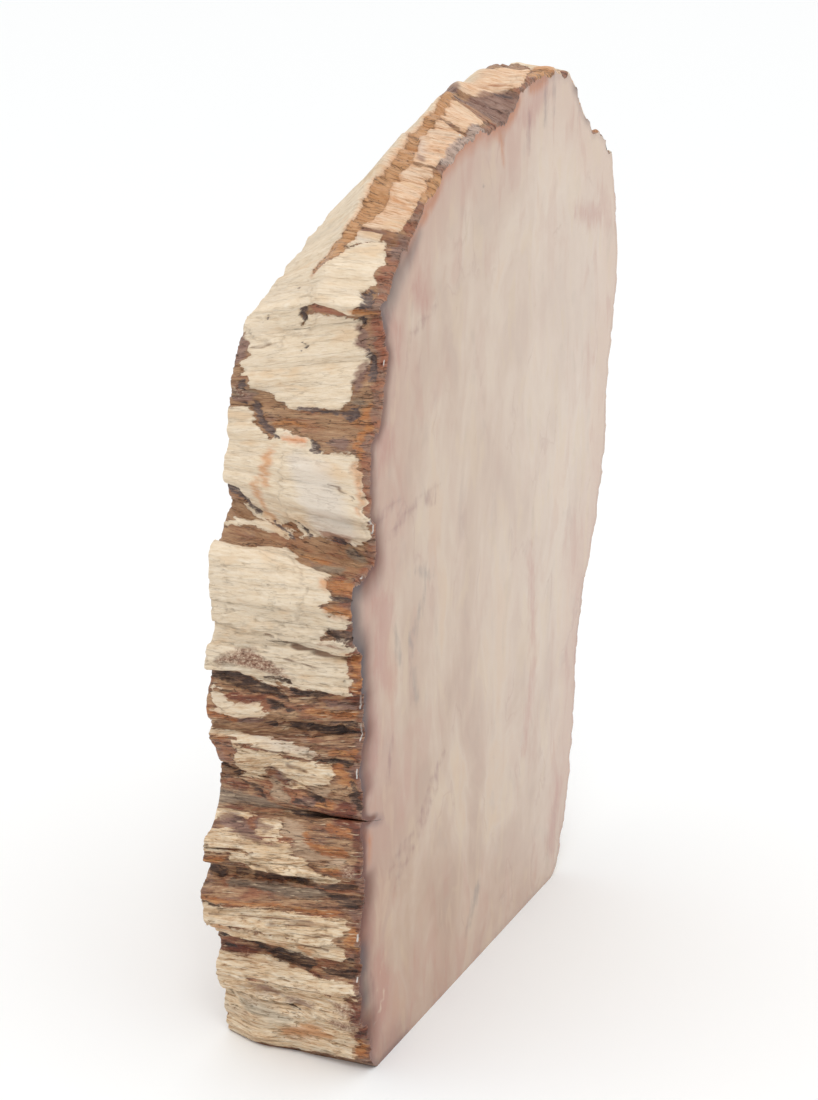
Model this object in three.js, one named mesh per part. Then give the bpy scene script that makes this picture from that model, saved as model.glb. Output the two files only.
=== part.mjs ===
import * as THREE from 'three';

// A slice of petrified wood: a thick slab sawn across a fossil log, which stands upright on a flat sawn base.
// The front is the polished cross cut. The rind, which runs all round between front and back, is the weathered
// outside of the log: its ledges and furrows follow the wood grain, so they run from front to back.
// Millimetres, z up. Places are measured from the near bottom corner of the polished face: x across the face,
// y into the thickness, z up. The finished slab is moved to stand on the middle of its bounding box.

// Driving sizes
const THICKNESS = 46;
const RIDGE_DEPTH = 18; // how far behind the polished face the roof-like ridge of the shoulder runs
const EDGE_BEVEL = 0.8; // worn edge between each sawn face and the rind
const FINE_STEP = 1.9; // spacing of the grain lines on the rind that carries the ledges
const COARSE_STEP = 3.6; // and on the plainer right flank
const DEPTH_STEPS = [4, 8.5, 13.5, RIDGE_DEPTH, 22.5, 27, 32, 37, 42];
const FOOT_HEIGHT = 12; // the relief moves the rind only sideways at the base, so that the base stays flat
const FURROW_END = 2; // length over which a furrow runs out at its ends

// Grain lines of the rind, in order up the left flank, over the top and down the right flank.
// Each is [x, z at the polished face, x, z at the back], then x, z at the ridge where the line bends there.
const LEFT_FLANK = [
  [0, 0, 4.6, 0, 0.2, 0],
  [-4.5, 4.5, 3.4, 3, -2.4, 4],
  [-6, 11, 3, 9, -3.4, 10.2],
  [-10.5, 18.5, 2, 14.5],
  [-11, 24, -1.6, 19],
  [-12, 31, -1.8, 23],
  // brown furrow under the tan ledge
  [-10.8, 34.5, -0.4, 27.5],
  [-11.5, 38, -3, 32.5],
  // tan ledge
  [-10.6, 44, -8.5, 39],
  [-9.8, 51, -10.6, 45.5],
  [-9.2, 54, -8.8, 49.5],
  // black furrow
  [-7.8, 55.8, -7.4, 51.5],
  [-9.6, 58, -9.8, 54.5],
  [-8.8, 64, -7.6, 58],
  [-9.8, 69, -4.5, 62.5],
  // crack that cuts into the polished face
  [-9.3, 71.9, -0.6, 66.4],
  [-2.4, 70.4, 0, 67, -4.4, 70.6],
  [3.4, 69.1, 0.4, 67.6, -3.6, 71],
  [-2.2, 71.4, 0.8, 68.2, -4.2, 71.6],
  [-9.2, 74.3, 1.3, 69],
  // wide hollow at the back, narrowing towards the face
  [-8.8, 80, 2, 75],
  [-11.2, 89, 2, 79.5],
  [-9, 92.5, -1.5, 84],
  [-7.8, 96, -4.2, 87.5],
  [-8.4, 101, -3.2, 91.5],
  [-8.8, 106, -5, 99],
  [-8.6, 108, -3.4, 104.8],
  [-9.9, 113, -5.3, 108.7],
  [-9.9, 117, -2.8, 111.5],
  // great cream scale, which stands proud along the face
  [-12.5, 120.5, -0.6, 114],
  [-14.8, 124, 0.8, 118],
  [-15.2, 130, 0.2, 125],
  [-14.8, 135, -1.4, 130.5],
  [-12, 137, -0.8, 134.5],
  // brown shelf above it, where the flank steps in
  [-8, 138.2, 0.7, 138],
  [-2.5, 138.8, 4.8, 141.8],
  [0, 141, 8.9, 145.6],
  [-0.4, 145, 12, 148.6],
  [-1, 149, 9.4, 151.4],
  [-2.8, 154.5, 7.6, 154.6],
  [-3.6, 161, 8.6, 158.8],
  [-2.6, 167, 10.3, 162.4],
  [-0.6, 173.5, 11, 167.5],
  [4.6, 177.4, 11.4, 172.5],
  [5.8, 183, 12.2, 176.6],
  [7.4, 190.5, 13.6, 181.4],
  [6.5, 196.5, 15.6, 186],
  [4, 200.5, 19, 190.3],
  [4, 203, 24, 194.8, 5.5, 203.2],
  [6.6, 205.2, 32, 196.9, 7.4, 206],
];
const SHOULDER = [
  [11, 209.5, 38, 199.2, 11, 209.6],
  [17.5, 215, 45, 202.2, 17, 214.6],
  [24, 218.5, 54, 205.6, 26, 220],
  [30.5, 224, 62.5, 209, 35, 226.3],
  [38.5, 228, 71, 212.2, 43, 231],
  [45.5, 232.3, 80, 214.6, 51, 234.5],
  [55, 236.4, 90, 217.4, 60, 237.6],
  [63, 238.2, 98, 219.6, 68, 239.6],
  [70.5, 239.9, 105, 221.6, 77, 242.2],
  // dark hollow, deep at the face and running out at the ridge
  [77, 239.4, 110, 223.4, 84.5, 245],
  [83, 239.3, 113, 224.8, 90, 246.4],
  [92, 242, 116, 226, 96, 247.4],
  [99, 245.6, 119, 227.2, 102, 248.4],
  [102, 248, 122, 228.5, 108, 249.4],
];
const CROWN = [
  [109, 249.2, 127, 230, 113.5, 251.9],
  [120.5, 250.3, 135, 231.6, 120, 252.9],
  [132.5, 249.6, 144, 232, 133, 251.8],
  [142, 247.6, 153, 231, 145, 249],
];
const RIGHT_FLANK = [
  [148, 244, 160, 228.5],
  [151.5, 241.6, 165, 226],
  [152.4, 239, 168, 223.5],
  [155.5, 236.6, 170.5, 221],
  [160.5, 233.2, 173, 218],
  [164.6, 230.2, 175, 214.5],
  [171.5, 228.6, 177, 210],
  [177, 225.8, 179.5, 205],
  [181.4, 220.6, 182, 199],
  [184.6, 214, 184, 192],
  [187, 206, 185.6, 184],
  [189, 194, 186.4, 175],
  [189.7, 181, 185, 165],
  [187, 168.8, 183, 155],
  [183.6, 156.6, 180, 145],
  [182.2, 144, 178.5, 134],
  [181, 128, 177, 122],
  [178, 118.6, 172.5, 112.5],
  [174, 107, 169.5, 102],
  [168, 96, 166.5, 92],
  [164.4, 90, 161, 84.5],
  [161.5, 82.5, 158.6, 76],
  [159, 74, 157.8, 68],
  [157, 64, 154, 58],
  [157, 52, 154.4, 47],
  [154.8, 39.5, 151, 34.5],
  [152.6, 27, 149.6, 22.5],
  [151, 20.5, 146, 16],
  [148.2, 14.6, 144.5, 10],
  [143, 4, 138, 3.5],
  [137, 0, 133, 0],
];

// Places on the rind are given as the distance along it, up from the near bottom corner and measured at the
// ridge's depth, and the depth behind the polished face.

// Furrows, each between two such places, with its half width and how deep it is.
const FURROWS = [
  // foot, two weathered streaks and the brown furrow under the tan ledge
  { from: [17, 16], to: [19, 42], halfWidth: 1.4, depth: 0.9 },
  { from: [31.3, 0], to: [37.8, 46], halfWidth: 2.2, depth: 1.6 },
  // wide groove and the black furrow above it
  { from: [50.5, 0], to: [56, 46], halfWidth: 2.6, depth: 0.8 },
  { from: [55.2, 0], to: [59, 46], halfWidth: 1.7, depth: 1.6 },
  // splits that run on from the crack into the hollow behind it
  { from: [82.7, 15], to: [90.5, 30], halfWidth: 1.5, depth: 1 },
  { from: [81.8, 31], to: [91.3, 46], halfWidth: 1.4, depth: 1 },
  // middle of the flank
  { from: [93.4, 0], to: [103, 46], halfWidth: 1.1, depth: 0.8 },
  { from: [99, 0], to: [103.6, 30], halfWidth: 1.2, depth: 1.5 },
  { from: [110.8, 0], to: [114.7, 46], halfWidth: 1.5, depth: 1.4 },
  { from: [121.4, 0], to: [126, 24], halfWidth: 0.9, depth: 1.3 },
  // brown shelf over the great scale, and the notch at its back
  { from: [154, 2], to: [152.8, 46], halfWidth: 3, depth: 1.3 },
  { from: [159.4, 34], to: [161.6, 46], halfWidth: 1.2, depth: 1 },
  // upper flank
  { from: [189, 0], to: [194, 40], halfWidth: 3.2, depth: 1.3 },
  { from: [218.6, 8], to: [221.8, 22], halfWidth: 1.3, depth: 1 },
  // two pits in the edge of the face at the top right
  { from: [394, 0], to: [394, 4], halfWidth: 1.8, depth: 1.4 },
  { from: [400.5, 0], to: [400.5, 4], halfWidth: 1.8, depth: 1.2 },
];

// Round the tip of the crack the relief fades out, or it would push the crack's walls through each other.
const CRACK_TIP = { along: 77, reach: 3.2 };

// Swellings of the rind: where each is, how far it reaches along the rind and in depth, and its height.
const SWELLINGS = [
  // the foot, whose far corner is round
  { at: [4, 34], reach: [14, 8], height: 3.2 },
  // lump behind the ridge, beside the crown
  { at: [334, 25], reach: [8, 4.5], height: 2.4 },
];

// Low ribs of the weathered grain all over the rind, each with its spacing, its height and how far it drifts
// along the rind for each millimetre of depth, as an angle of its wave.
const RIBS = [
  { spacing: 13.7, height: 0.45, drift: 0.06 },
  { spacing: 7.9, height: 0.35, drift: -0.045 },
  { spacing: 4.9, height: 0.25, drift: 0.035 },
];

const smooth = (t) => THREE.MathUtils.smoothstep(t, 0, 1);

// The grain lines as three matching edges: at the polished face, at the ridge and at the back.
function edgeCurves(lines) {
  const straight = RIDGE_DEPTH / THICKNESS;
  const edges = { face: [], ridge: [], back: [] };
  for (const [faceX, faceZ, backX, backZ, ridgeX, ridgeZ] of lines) {
    edges.face.push(new THREE.Vector3(faceX, 0, faceZ));
    edges.back.push(new THREE.Vector3(backX, THICKNESS, backZ));
    edges.ridge.push(
      new THREE.Vector3(
        ridgeX ?? THREE.MathUtils.lerp(faceX, backX, straight),
        RIDGE_DEPTH,
        ridgeZ ?? THREE.MathUtils.lerp(faceZ, backZ, straight),
      ),
    );
  }
  const curve = (points) => new THREE.CatmullRomCurve3(points, false, 'centripetal');
  return { face: curve(edges.face), ridge: curve(edges.ridge), back: curve(edges.back) };
}

// Where the grain lines of the mesh lie: every listed line, and evenly spaced ones between two listed lines.
function stations(edges, lines) {
  const firstCoarse = LEFT_FLANK.length + SHOULDER.length + CROWN.length;
  const places = [];
  for (let i = 0; i < lines.length - 1; i++) {
    const step = i < firstCoarse ? FINE_STEP : COARSE_STEP;
    const gap = edges.face.points[i].distanceTo(edges.face.points[i + 1]);
    const count = Math.max(1, Math.round(gap / step));
    for (let k = 0; k < count; k++) places.push((i + k / count) / (lines.length - 1));
  }
  places.push(1);
  return places;
}

// A point of the slab's outline between the face and the back, before its relief.
function outlinePoint(edges, place, y) {
  const [near, far, start, end] =
    y < RIDGE_DEPTH
      ? [edges.face, edges.ridge, 0, RIDGE_DEPTH]
      : [edges.ridge, edges.back, RIDGE_DEPTH, THICKNESS];
  return near.getPoint(place).lerp(far.getPoint(place), (y - start) / (end - start));
}

// How far the rind stands out or in at a distance along it and a depth behind the face.
function relief(along, y) {
  let height = 0;
  for (const rib of RIBS)
    height += rib.height * Math.sin((2 * Math.PI * along) / rib.spacing + rib.drift * y);
  for (const { from, to, halfWidth, depth } of FURROWS) {
    const way = THREE.MathUtils.clamp((y - from[1]) / (to[1] - from[1]), 0, 1);
    const across = (along - THREE.MathUtils.lerp(from[0], to[0], way)) / halfWidth;
    const inside = smooth((y - from[1]) / FURROW_END + 1) * smooth((to[1] - y) / FURROW_END + 1);
    height -= depth * Math.exp(-across * across) * inside;
  }
  for (const { at, reach, height: rise } of SWELLINGS) {
    const alongPart = (along - at[0]) / reach[0];
    const depthPart = (y - at[1]) / reach[1];
    height += rise * Math.exp(-alongPart * alongPart - depthPart * depthPart);
  }
  return height * smooth(Math.abs(along - CRACK_TIP.along) / CRACK_TIP.reach);
}

function slabGeometry() {
  const lines = [...LEFT_FLANK, ...SHOULDER, ...CROWN, ...RIGHT_FLANK];
  const edges = edgeCurves(lines);
  const places = stations(edges, lines);
  const count = places.length;
  const ridge = places.map((place) => edges.ridge.getPoint(place));
  const along = [0];
  for (let i = 1; i < count; i++) along.push(along[i - 1] + ridge[i].distanceTo(ridge[i - 1]));

  // Rows of points at each depth, moved out or in along the outline's own outward direction.
  const depths = [0, EDGE_BEVEL, ...DEPTH_STEPS, THICKNESS - EDGE_BEVEL, THICKNESS];
  const positions = [];
  const sawnRows = [];
  for (const y of depths) {
    const onSawnFace = y === 0 || y === THICKNESS;
    const outline = places.map((place) => outlinePoint(edges, place, y));
    const row = outline.map((point, i) => {
      const before = outline[Math.max(i - 1, 0)];
      const after = outline[Math.min(i + 1, count - 1)];
      const outward = new THREE.Vector3(before.z - after.z, 0, after.x - before.x).normalize();
      outward.z *= smooth(point.z / FOOT_HEIGHT);
      const move = relief(along[i], y) - (onSawnFace ? EDGE_BEVEL : 0);
      return point.clone().addScaledVector(outward, move);
    });
    for (const point of row) positions.push(point.x, point.y, point.z);
    if (onSawnFace) sawnRows.push(row.map((point) => new THREE.Vector2(point.x, point.z)));
  }

  const faces = [];
  for (let j = 0; j < depths.length - 1; j++)
    for (let i = 0; i < count; i++) {
      const a = j * count + i;
      const b = j * count + ((i + 1) % count);
      faces.push(a, b, a + count, b, b + count, a + count);
    }

  // The two sawn faces close the ends of the rind.
  const addSawnFace = (row, first, facing) => {
    for (const triangle of THREE.ShapeUtils.triangulateShape(row, [])) {
      const [a, b, c] = triangle.map((i) => row[i]);
      const turn = Math.sign((b.x - a.x) * (c.y - a.y) - (b.y - a.y) * (c.x - a.x));
      const order = turn === facing ? triangle : [triangle[0], triangle[2], triangle[1]];
      faces.push(...order.map((i) => first + i));
    }
  };
  addSawnFace(sawnRows[0], 0, 1);
  addSawnFace(sawnRows[1], (depths.length - 1) * count, -1);

  const geometry = new THREE.BufferGeometry();
  geometry.setAttribute('position', new THREE.Float32BufferAttribute(positions, 3));
  geometry.setIndex(faces);
  geometry.computeBoundingBox();
  const { min, max } = geometry.boundingBox;
  geometry.translate(-(min.x + max.x) / 2, -(min.y + max.y) / 2, -min.z);
  geometry.computeVertexNormals();
  return geometry;
}

function petrifiedWoodSlice() {
  const agatisedWood = new THREE.MeshStandardMaterial({ color: 0xbda28a, roughness: 0.4, metalness: 0 });
  const slab = new THREE.Mesh(slabGeometry(), agatisedWood);
  slab.name = 'petrified_wood_slice';
  return slab;
}

const group = new THREE.Group();
group.add(petrifiedWoodSlice());

export default group;
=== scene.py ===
import bmesh
import bpy
import numpy as np
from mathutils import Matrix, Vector, geometry, noise


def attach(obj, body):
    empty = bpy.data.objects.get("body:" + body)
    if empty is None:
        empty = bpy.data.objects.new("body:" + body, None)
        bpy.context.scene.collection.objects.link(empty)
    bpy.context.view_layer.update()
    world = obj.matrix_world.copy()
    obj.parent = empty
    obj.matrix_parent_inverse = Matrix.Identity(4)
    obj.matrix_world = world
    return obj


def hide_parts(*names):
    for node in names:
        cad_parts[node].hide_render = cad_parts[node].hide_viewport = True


# A slice of petrified wood that stands on its sawn base. Its front is the polished cross cut of the log, and
# the rind round it is weathered: a matt cream crust in scales, over bare brown stone with fine fibres.
# The rind's points come from the CAD slab, on a finer grid. Lengths are in metres unless a name says mm.

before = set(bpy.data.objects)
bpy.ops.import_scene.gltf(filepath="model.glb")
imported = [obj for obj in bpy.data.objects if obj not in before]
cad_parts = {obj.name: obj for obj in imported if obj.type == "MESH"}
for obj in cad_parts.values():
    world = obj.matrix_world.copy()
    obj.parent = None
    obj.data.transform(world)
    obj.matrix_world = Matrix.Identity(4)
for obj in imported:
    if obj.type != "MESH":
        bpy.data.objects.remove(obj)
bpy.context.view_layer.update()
SLAB = "petrified_wood_slice"
MM = 0.001

# Driving sizes
POINT_GAP = 0.6 * MM  # between neighbouring points on the rind that shows its ledges
FAR_POINT_GAP = 1.2 * MM  # on the right flank
BASE_POINT_GAP = 4 * MM
FACE_POINT_GAP = 2.2 * MM  # in the polished face
BACK_POINT_GAP = 6 * MM
DEPTH_GAP = 0.66 * MM  # between rows, from the polished face to the back
RIDGE_DEPTH = 18 * MM  # distances along the rind are measured on the ring at this depth
FLAT_FOOT = 12 * MM  # below this height the relief moves the rind only sideways
CRACK = (75.5 * MM, 84.5 * MM)  # the walls of the crack, along the rind, get no relief
CRACK_FADE = 3 * MM
LEDGES_END_MM = 372  # the rind up to here, along it, carries the markings below
RIND_END_MM = 675
SLAB_DEPTH_MM = 46
FIELD_LIMIT_MM = 6  # distances to a marking's border are kept up to this far
# How far borders are moved sideways and with the grain, by teeth of what width and length
JAGS_MM = [(0.9, 2.4, 2.2, 11), (0.6, 1.6, 0.9, 5)]
# Share of the fraying by distance along the rind: the lower flank is the most fibrous.
FRAY_BY_ALONG = [(0, 1), (115, 0.85), (235, 0.8), (247, 0.4), (372, 0.4), (390, 0.9)]
# Where the crown lies lower than the CAD's: along the rind from and to, behind which depth, how much
CROWN_DROPS_MM = [(350, 385, 2, 1.2), (355, 366, 13, 1.5)]
CROWN_FADE_MM = 6
CRACK_EDGES = (79.5 * MM, 84.2 * MM)  # the corners of the crack's mouth
CRACK_DEPTH_MM = (9, 14)  # the crack is a slit up to the first depth, and as in the CAD beyond the second
CRACK_SLIT_MM = 4  # the slit narrows to a hairline this far in
CRACK_SHUT = (0.65, 0.32)  # share of the gap that is closed at the mouth, and how much more further in
CRACK_SIDE_MM = 4  # the rind follows the corners of the mouth this far
# Rows of points just inside the rim of a sawn face: how far in, and each point or every second one
RIM_ROWS_MM = [(0.8, 1), (1.8, 2)]
RIM_CLEAR_MM = 2.6  # the even grid of points starts this far inside the rim
WORN_EDGE_ROWS = [0, 0.08, 0.25, 0.55]  # share of the worn edge's depth at which its rows lie

# Places on the rind are [along, depth] in mm: along is the distance up the rind from the near bottom corner,
# and depth is how far behind the polished face. Each scale of cream crust is the outline of its border.
CREAM_SCALES = [
    # foot
    [[34, 47], [34, 30], [32, 19], [30, 13], [30, 6], [28, 1], [22, 1], [17, 3], [10, 3], [3, 5], [1, 47]],
    # tan ledge
    [[52, 47], [52, 27], [50.5, 12], [50, 4], [47, 3], [44, 6], [38, 4.5], [35, 6.5], [35.6, 13], [34.8, 18],
     [37.5, 29], [40.5, 47]],
    # scale under the crack, with the small one above its far half
    [[76.5, 47], [74.5, 37], [73.5, 29], [73.5, 21], [70, 19.5], [68, 15], [61.5, 8], [59.6, 10.5],
     [60.6, 14], [61.2, 19], [64, 26], [66, 36], [69, 40], [70, 47]],
    [[76, 33], [78.5, 30], [79.3, 24], [74.5, 22.5], [74.5, 28]],
    [[80.5, 47], [79.6, 31], [77.8, 34], [78.2, 47]],
    # diagonal strips over the wide hollow
    [[104, 38], [103, 32], [99.5, 22], [98, 12], [98, 7.5], [93, 9], [91, 18], [89.6, 20], [90, 23],
     [93, 26], [96.4, 30], [95, 31.6], [92.6, 31], [91, 35], [91.6, 38.6], [96, 39], [100, 40]],
    [[110, 47], [107.4, 36], [104, 22], [100.6, 13], [99, 15], [101, 25], [104.2, 36], [107, 44],
     [107.6, 47]],
    [[119.4, 45], [118.8, 41], [117.4, 37], [117, 31], [114.5, 27], [112.8, 29], [113.4, 36], [115.8, 43]],
    # great scale
    [[159.5, 47], [159, 38], [161, 30], [162, 25], [160.5, 21], [158, 20], [157, 15], [156, 12], [154, 9],
     [152, 7], [150, 5.2], [148, 4], [147, 9], [144.5, 7], [143, 5.6], [144, 1], [142, 0.6], [140, 2],
     [139, 7], [138, 5], [136.5, 9.5], [137, 1], [133, 1.2], [130, 3], [124, 3], [121, 2.6], [119.8, 5],
     [119.7, 8], [120.8, 15], [121, 20], [120.6, 25], [121, 30], [122.4, 35], [123, 40], [123.4, 47]],
    # thin strip along the brown shelf
    [[165.8, 45.5], [168, 36], [167.4, 25], [166, 25], [166, 36], [164.6, 45]],
    # whitish scale above the shelf
    [[204, 47], [204, 39.5], [199, 37], [197, 34], [194.5, 31.5], [197.5, 30], [197, 26], [195.5, 19],
     [193, 15.5], [192.5, 13], [193, 11], [192, 5], [190, 3], [184, 1.8], [179, 0.8], [172, 1], [168.5, 5],
     [169, 9], [168, 13], [168.5, 17], [167, 22], [170, 26], [168, 28.5], [168, 35], [168.5, 38],
     [171.5, 41], [174, 41.5], [177, 44], [180, 47]],
    # upper scale, and the one above the brown strip
    [[232, 10], [228, 8], [225, 6], [222, 8], [219, 6.5], [216.5, 4], [213, 5.5], [211, 8], [209, 9],
     [206, 9], [204, 12], [203.5, 24], [206, 31], [208, 34.5], [210, 37.5], [211, 40], [214, 40.5],
     [217.5, 43.5], [221, 41], [226, 44.5], [229, 47], [242, 47], [242, 28]],
    [[230, 8], [233, 6.5], [236, 4.5], [239, 5.5], [241.5, 3.2], [243, 5], [245.5, 3], [248.5, 3],
     [252, 4.5], [257, 6.5], [257.5, 9], [254, 12], [251, 15.5], [248, 15.5], [244.5, 20], [242, 26],
     [236, 32], [228, 30]],
    # steep band behind the shoulder's ridge
    [[232, 48], [236, 30], [243, 24.5], [250, 19], [260, 16], [270, 14], [280, 14], [290, 12.5], [300, 14],
     [320, 15], [331, 17.6], [340, 27], [352, 31], [372, 30], [372, 48]],
    # scales in front of the ridge
    [[257.6, 7], [256, 9.5], [252.4, 13.5], [251, 17], [256, 16.6], [259, 15], [259.4, 10], [259, 7.2]],
    [[289.5, 2.2], [284, 2.6], [276, 1.5], [269, 2.2], [261, 3.4], [260.4, 9], [260.4, 15], [269, 13.6],
     [284, 13.5], [289, 12]],
    [[317.6, 15], [316.8, 11], [313, 3], [304, 1.6], [295, 2], [290.4, 2.2], [290, 12], [296, 13.4],
     [311, 15]],
    [[328, 16.4], [333.4, 14], [332.4, 9], [331, 3], [322, 1.6], [314, 2.6], [317.6, 9], [318.4, 15]],
    # crown
    [[346, 24], [342, 19], [340.8, 15.4], [341, 12.5], [342, 10.4], [344, 7.4], [346.6, 4.4], [350, 1.4],
     [356, 1], [362, 2.4], [369, 6], [366, 14], [362, 24], [353, 27]],
]

# Parts of the crust that stand above the rest of their scale
THICK_CRUST = [
    [[224, 40], [221.6, 31], [225, 30], [223.4, 23.5], [229, 19], [238, 21], [241, 32], [237, 44],
     [230, 46]],
    [[192, 5], [184, 2], [172, 2], [168.4, 16], [172, 26.6], [180, 27.6], [191, 27], [194, 18]],
    [[159, 47], [158, 36], [160, 26], [157, 20], [150, 14], [143, 16], [138, 24], [136, 34], [139, 47]],
    [[74, 47], [72.6, 36], [71, 27], [68, 20], [64, 15], [63, 20], [66, 28], [68.6, 38], [70.6, 47]],
    [[50, 47], [49, 30], [47.6, 14], [44, 9], [41, 12], [42, 26], [45.5, 47]],
    [[24, 47], [22, 34], [20, 22], [16, 14], [14, 20], [15, 34], [17, 47]],
]

# The other markings are strokes through points [along, depth, half width].
RIDGE_STRIP = [
    [[243.5, 24, 0.6], [246, 21.5, 1.8], [250, 18.2, 2.6], [255, 17, 2], [260, 15.8, 1.8], [265, 14.6, 2.4],
     [270, 13.4, 3.2], [275, 13.4, 2.8], [280, 14, 2.5], [285, 13, 2], [290, 12, 2.6], [295, 13, 2.2],
     [300, 13.8, 1.8], [310, 14.7, 1.8], [320, 14.8, 1.8], [330, 16, 1.5], [337, 17, 1.4]],
]
BARE_STONE = [
    # brown strip over the upper scale
    [[228, 24, 0.5], [231.2, 22.6, 0.8], [232.2, 20.4, 1.4], [231.4, 15.5, 1.4], [230.4, 12, 1.1],
     [229, 9.6, 0.5], [228.6, 7.5, 0.4]],
    # bare patches of the tan ledge and the foot
    [[46, 3, 1.2], [41, 2, 1.6]],
    [[26, 3, 0.8], [19, 1, 1.4]],
    [[45.5, 47, 0.4], [44.4, 30, 0.4], [43.4, 20, 0.3]],
    [[26.5, 34, 0.3], [25.2, 18, 0.4], [24, 8, 0.3]],
    [[71.5, 46, 0.4], [70.6, 38, 0.5], [70, 31, 0.3]],
    # line between the scale on the shoulder and the small one above it
    [[257, 7, 0.3], [255, 10.5, 0.35], [251.4, 14.4, 0.4]],
    *RIDGE_STRIP,
]
DARK_STREAKS = [
    # foot
    [[19.6, 40, 0.3], [18.8, 34, 0.45], [17.9, 28.4, 0.3]],
    [[18, 25, 0.3], [17.4, 20, 0.4]],
    [[14.8, 12.4, 0.5], [14, 10.6, 0.4]],
    # under the tan ledge
    [[39.6, 46, 0.7], [38, 38, 0.5], [37.2, 33, 0.5], [35.4, 30, 1.2], [34.4, 25, 1.7], [34.6, 20, 1.6],
     [33.4, 16.6, 1.5], [31.6, 15, 0.8]],
    [[32.6, 10.4, 0.6], [32, 6, 1.2], [31.8, 2.4, 1.4]],
    [[37, 4.4, 0.8], [37, 2.8, 0.9]],
    [[36, 43.6, 0.5], [35.4, 39.6, 0.4]],
    # streaks above the tan ledge
    [[52.6, 46, 0.8], [51.3, 40.4, 0.8]],
    [[57.4, 12, 0.6], [55, 6, 1.6], [54.4, 1.5, 1.6]],
    [[61.4, 45.6, 0.9], [60.6, 41, 0.9]],
    [[61.2, 38, 0.5], [60.6, 28, 0.6], [60.2, 18, 0.6], [59.6, 13, 0.5]],
    [[59, 12, 0.5], [59.2, 6, 0.9], [59.4, 2, 0.7]],
    # crack, painted dark as shade along its slit, and the splits and spots round it
    [[83.4, 26, 0.4], [82.8, 23, 0.8], [82.4, 19.6, 0.8], [82, 14, 1], [81.6, 5, 1.3], [81.2, 0, 1.4]],
    [[89.4, 38, 0.4], [88.2, 34, 0.7], [86.6, 30, 0.5]],
    [[86.4, 20.6, 0.6], [85, 17.4, 0.8]],
    [[88.6, 17, 0.8], [88, 14.6, 1.2], [87.6, 12.4, 0.8]],
    [[92.4, 2.4, 0.8], [89.6, 1.6, 1.2], [87.4, 1.2, 1]],
    [[96.4, 46, 0.5], [93.4, 41.6, 0.7], [91, 39.6, 0.5]],
    # middle of the flank
    [[98.9, 13, 0.4], [98.7, 8, 0.7], [98.2, 2.4, 0.9]],
    [[103.2, 45, 0.5], [102.6, 41, 0.7], [102.2, 37.4, 0.3]],
    [[110.7, 29.4, 0.3], [110.3, 25.4, 0.4]],
    [[109.6, 22, 0.5], [108.8, 17, 0.9], [108, 12.4, 1], [107, 8, 0.9], [106.2, 3, 0.8], [105.8, 1, 0.4]],
    [[109.6, 9, 0.8], [109, 4, 1.3]],
    [[117.4, 29, 0.5], [116.6, 26, 0.8], [115.4, 21, 0.6], [114.8, 18.4, 0.3]],
    [[122.4, 46, 1.3], [121.8, 40, 1.4], [121, 35, 1.2], [120, 30, 0.9], [119, 25.6, 0.7],
     [118.2, 22.4, 0.7]],
    [[119.8, 20.4, 0.5], [119.4, 14, 0.6], [119.3, 8, 0.4]],
    # great scale
    [[122.9, 28, 0.4], [122.5, 24, 0.7], [122.2, 20.4, 0.6]],
    [[139, 6.6, 0.5], [138.2, 3.6, 1.4], [137.8, 0.6, 1.8]],
    [[148.8, 4.8, 0.6], [148.6, 2.6, 0.9], [148.6, 0.8, 0.8]],
    # shelf and the scale above it
    [[168.2, 9, 0.4], [169.2, 7.6, 0.3], [167.4, 6, 0.3], [166, 4, 0.3]],
    [[168.6, 13, 0.6], [168.8, 9.6, 0.7]],
    [[171.6, 23.4, 0.4], [170, 22, 0.8], [168.4, 20.6, 0.7], [167.6, 20, 0.4]],
    [[178.4, 47, 1.4], [176, 43.4, 1.8], [173.6, 41, 1.6], [172.6, 39.8, 1]],
    [[171.2, 38.4, 0.9], [170.4, 35.6, 0.9]],
    [[168.6, 31, 0.4], [167, 27.6, 0.4], [166.2, 24, 0.3]],
    [[194.8, 18.2, 0.5], [193.4, 16.6, 1.1], [192.4, 15.2, 0.7]],
    # curved streak and the groove beside it
    [[205.4, 38.8, 0.6], [203.4, 37.4, 0.9], [200.6, 35.6, 0.9], [198.4, 33.4, 0.9], [196.4, 30.6, 0.8],
     [195.6, 28, 0.3]],
    [[204.2, 25, 0.4], [203.4, 19, 0.6], [203, 13, 0.7]],
    [[203, 11.4, 0.7], [202.4, 9.4, 1.1], [204, 7.6, 0.6]],
    [[205.6, 44, 0.3], [205.2, 41, 0.4]],
    [[212.8, 42.6, 0.9], [210.8, 42, 1.2]],
    # upper scale
    [[217.6, 5.2, 0.5], [215, 3.8, 0.9], [211, 3.4, 1.1]],
    [[228, 5.4, 0.8], [226.4, 5.6, 1.3], [225.2, 5.4, 0.8]],
    [[239.4, 3.6, 0.8], [237, 4, 1.7], [234.6, 4.6, 1.9], [232.4, 4.4, 1]],
    [[232.2, 22.8, 0.7], [228.4, 24.2, 0.4]],
    [[221.8, 24.2, 0.3], [220.4, 24, 0.35]],
    [[232, 37.8, 0.3], [230.6, 38, 0.3]],
    # hollow beside the crown
    [[345.4, 11, 0.3], [345.8, 6, 0.6], [346.6, 2, 0.6]],
]
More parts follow.
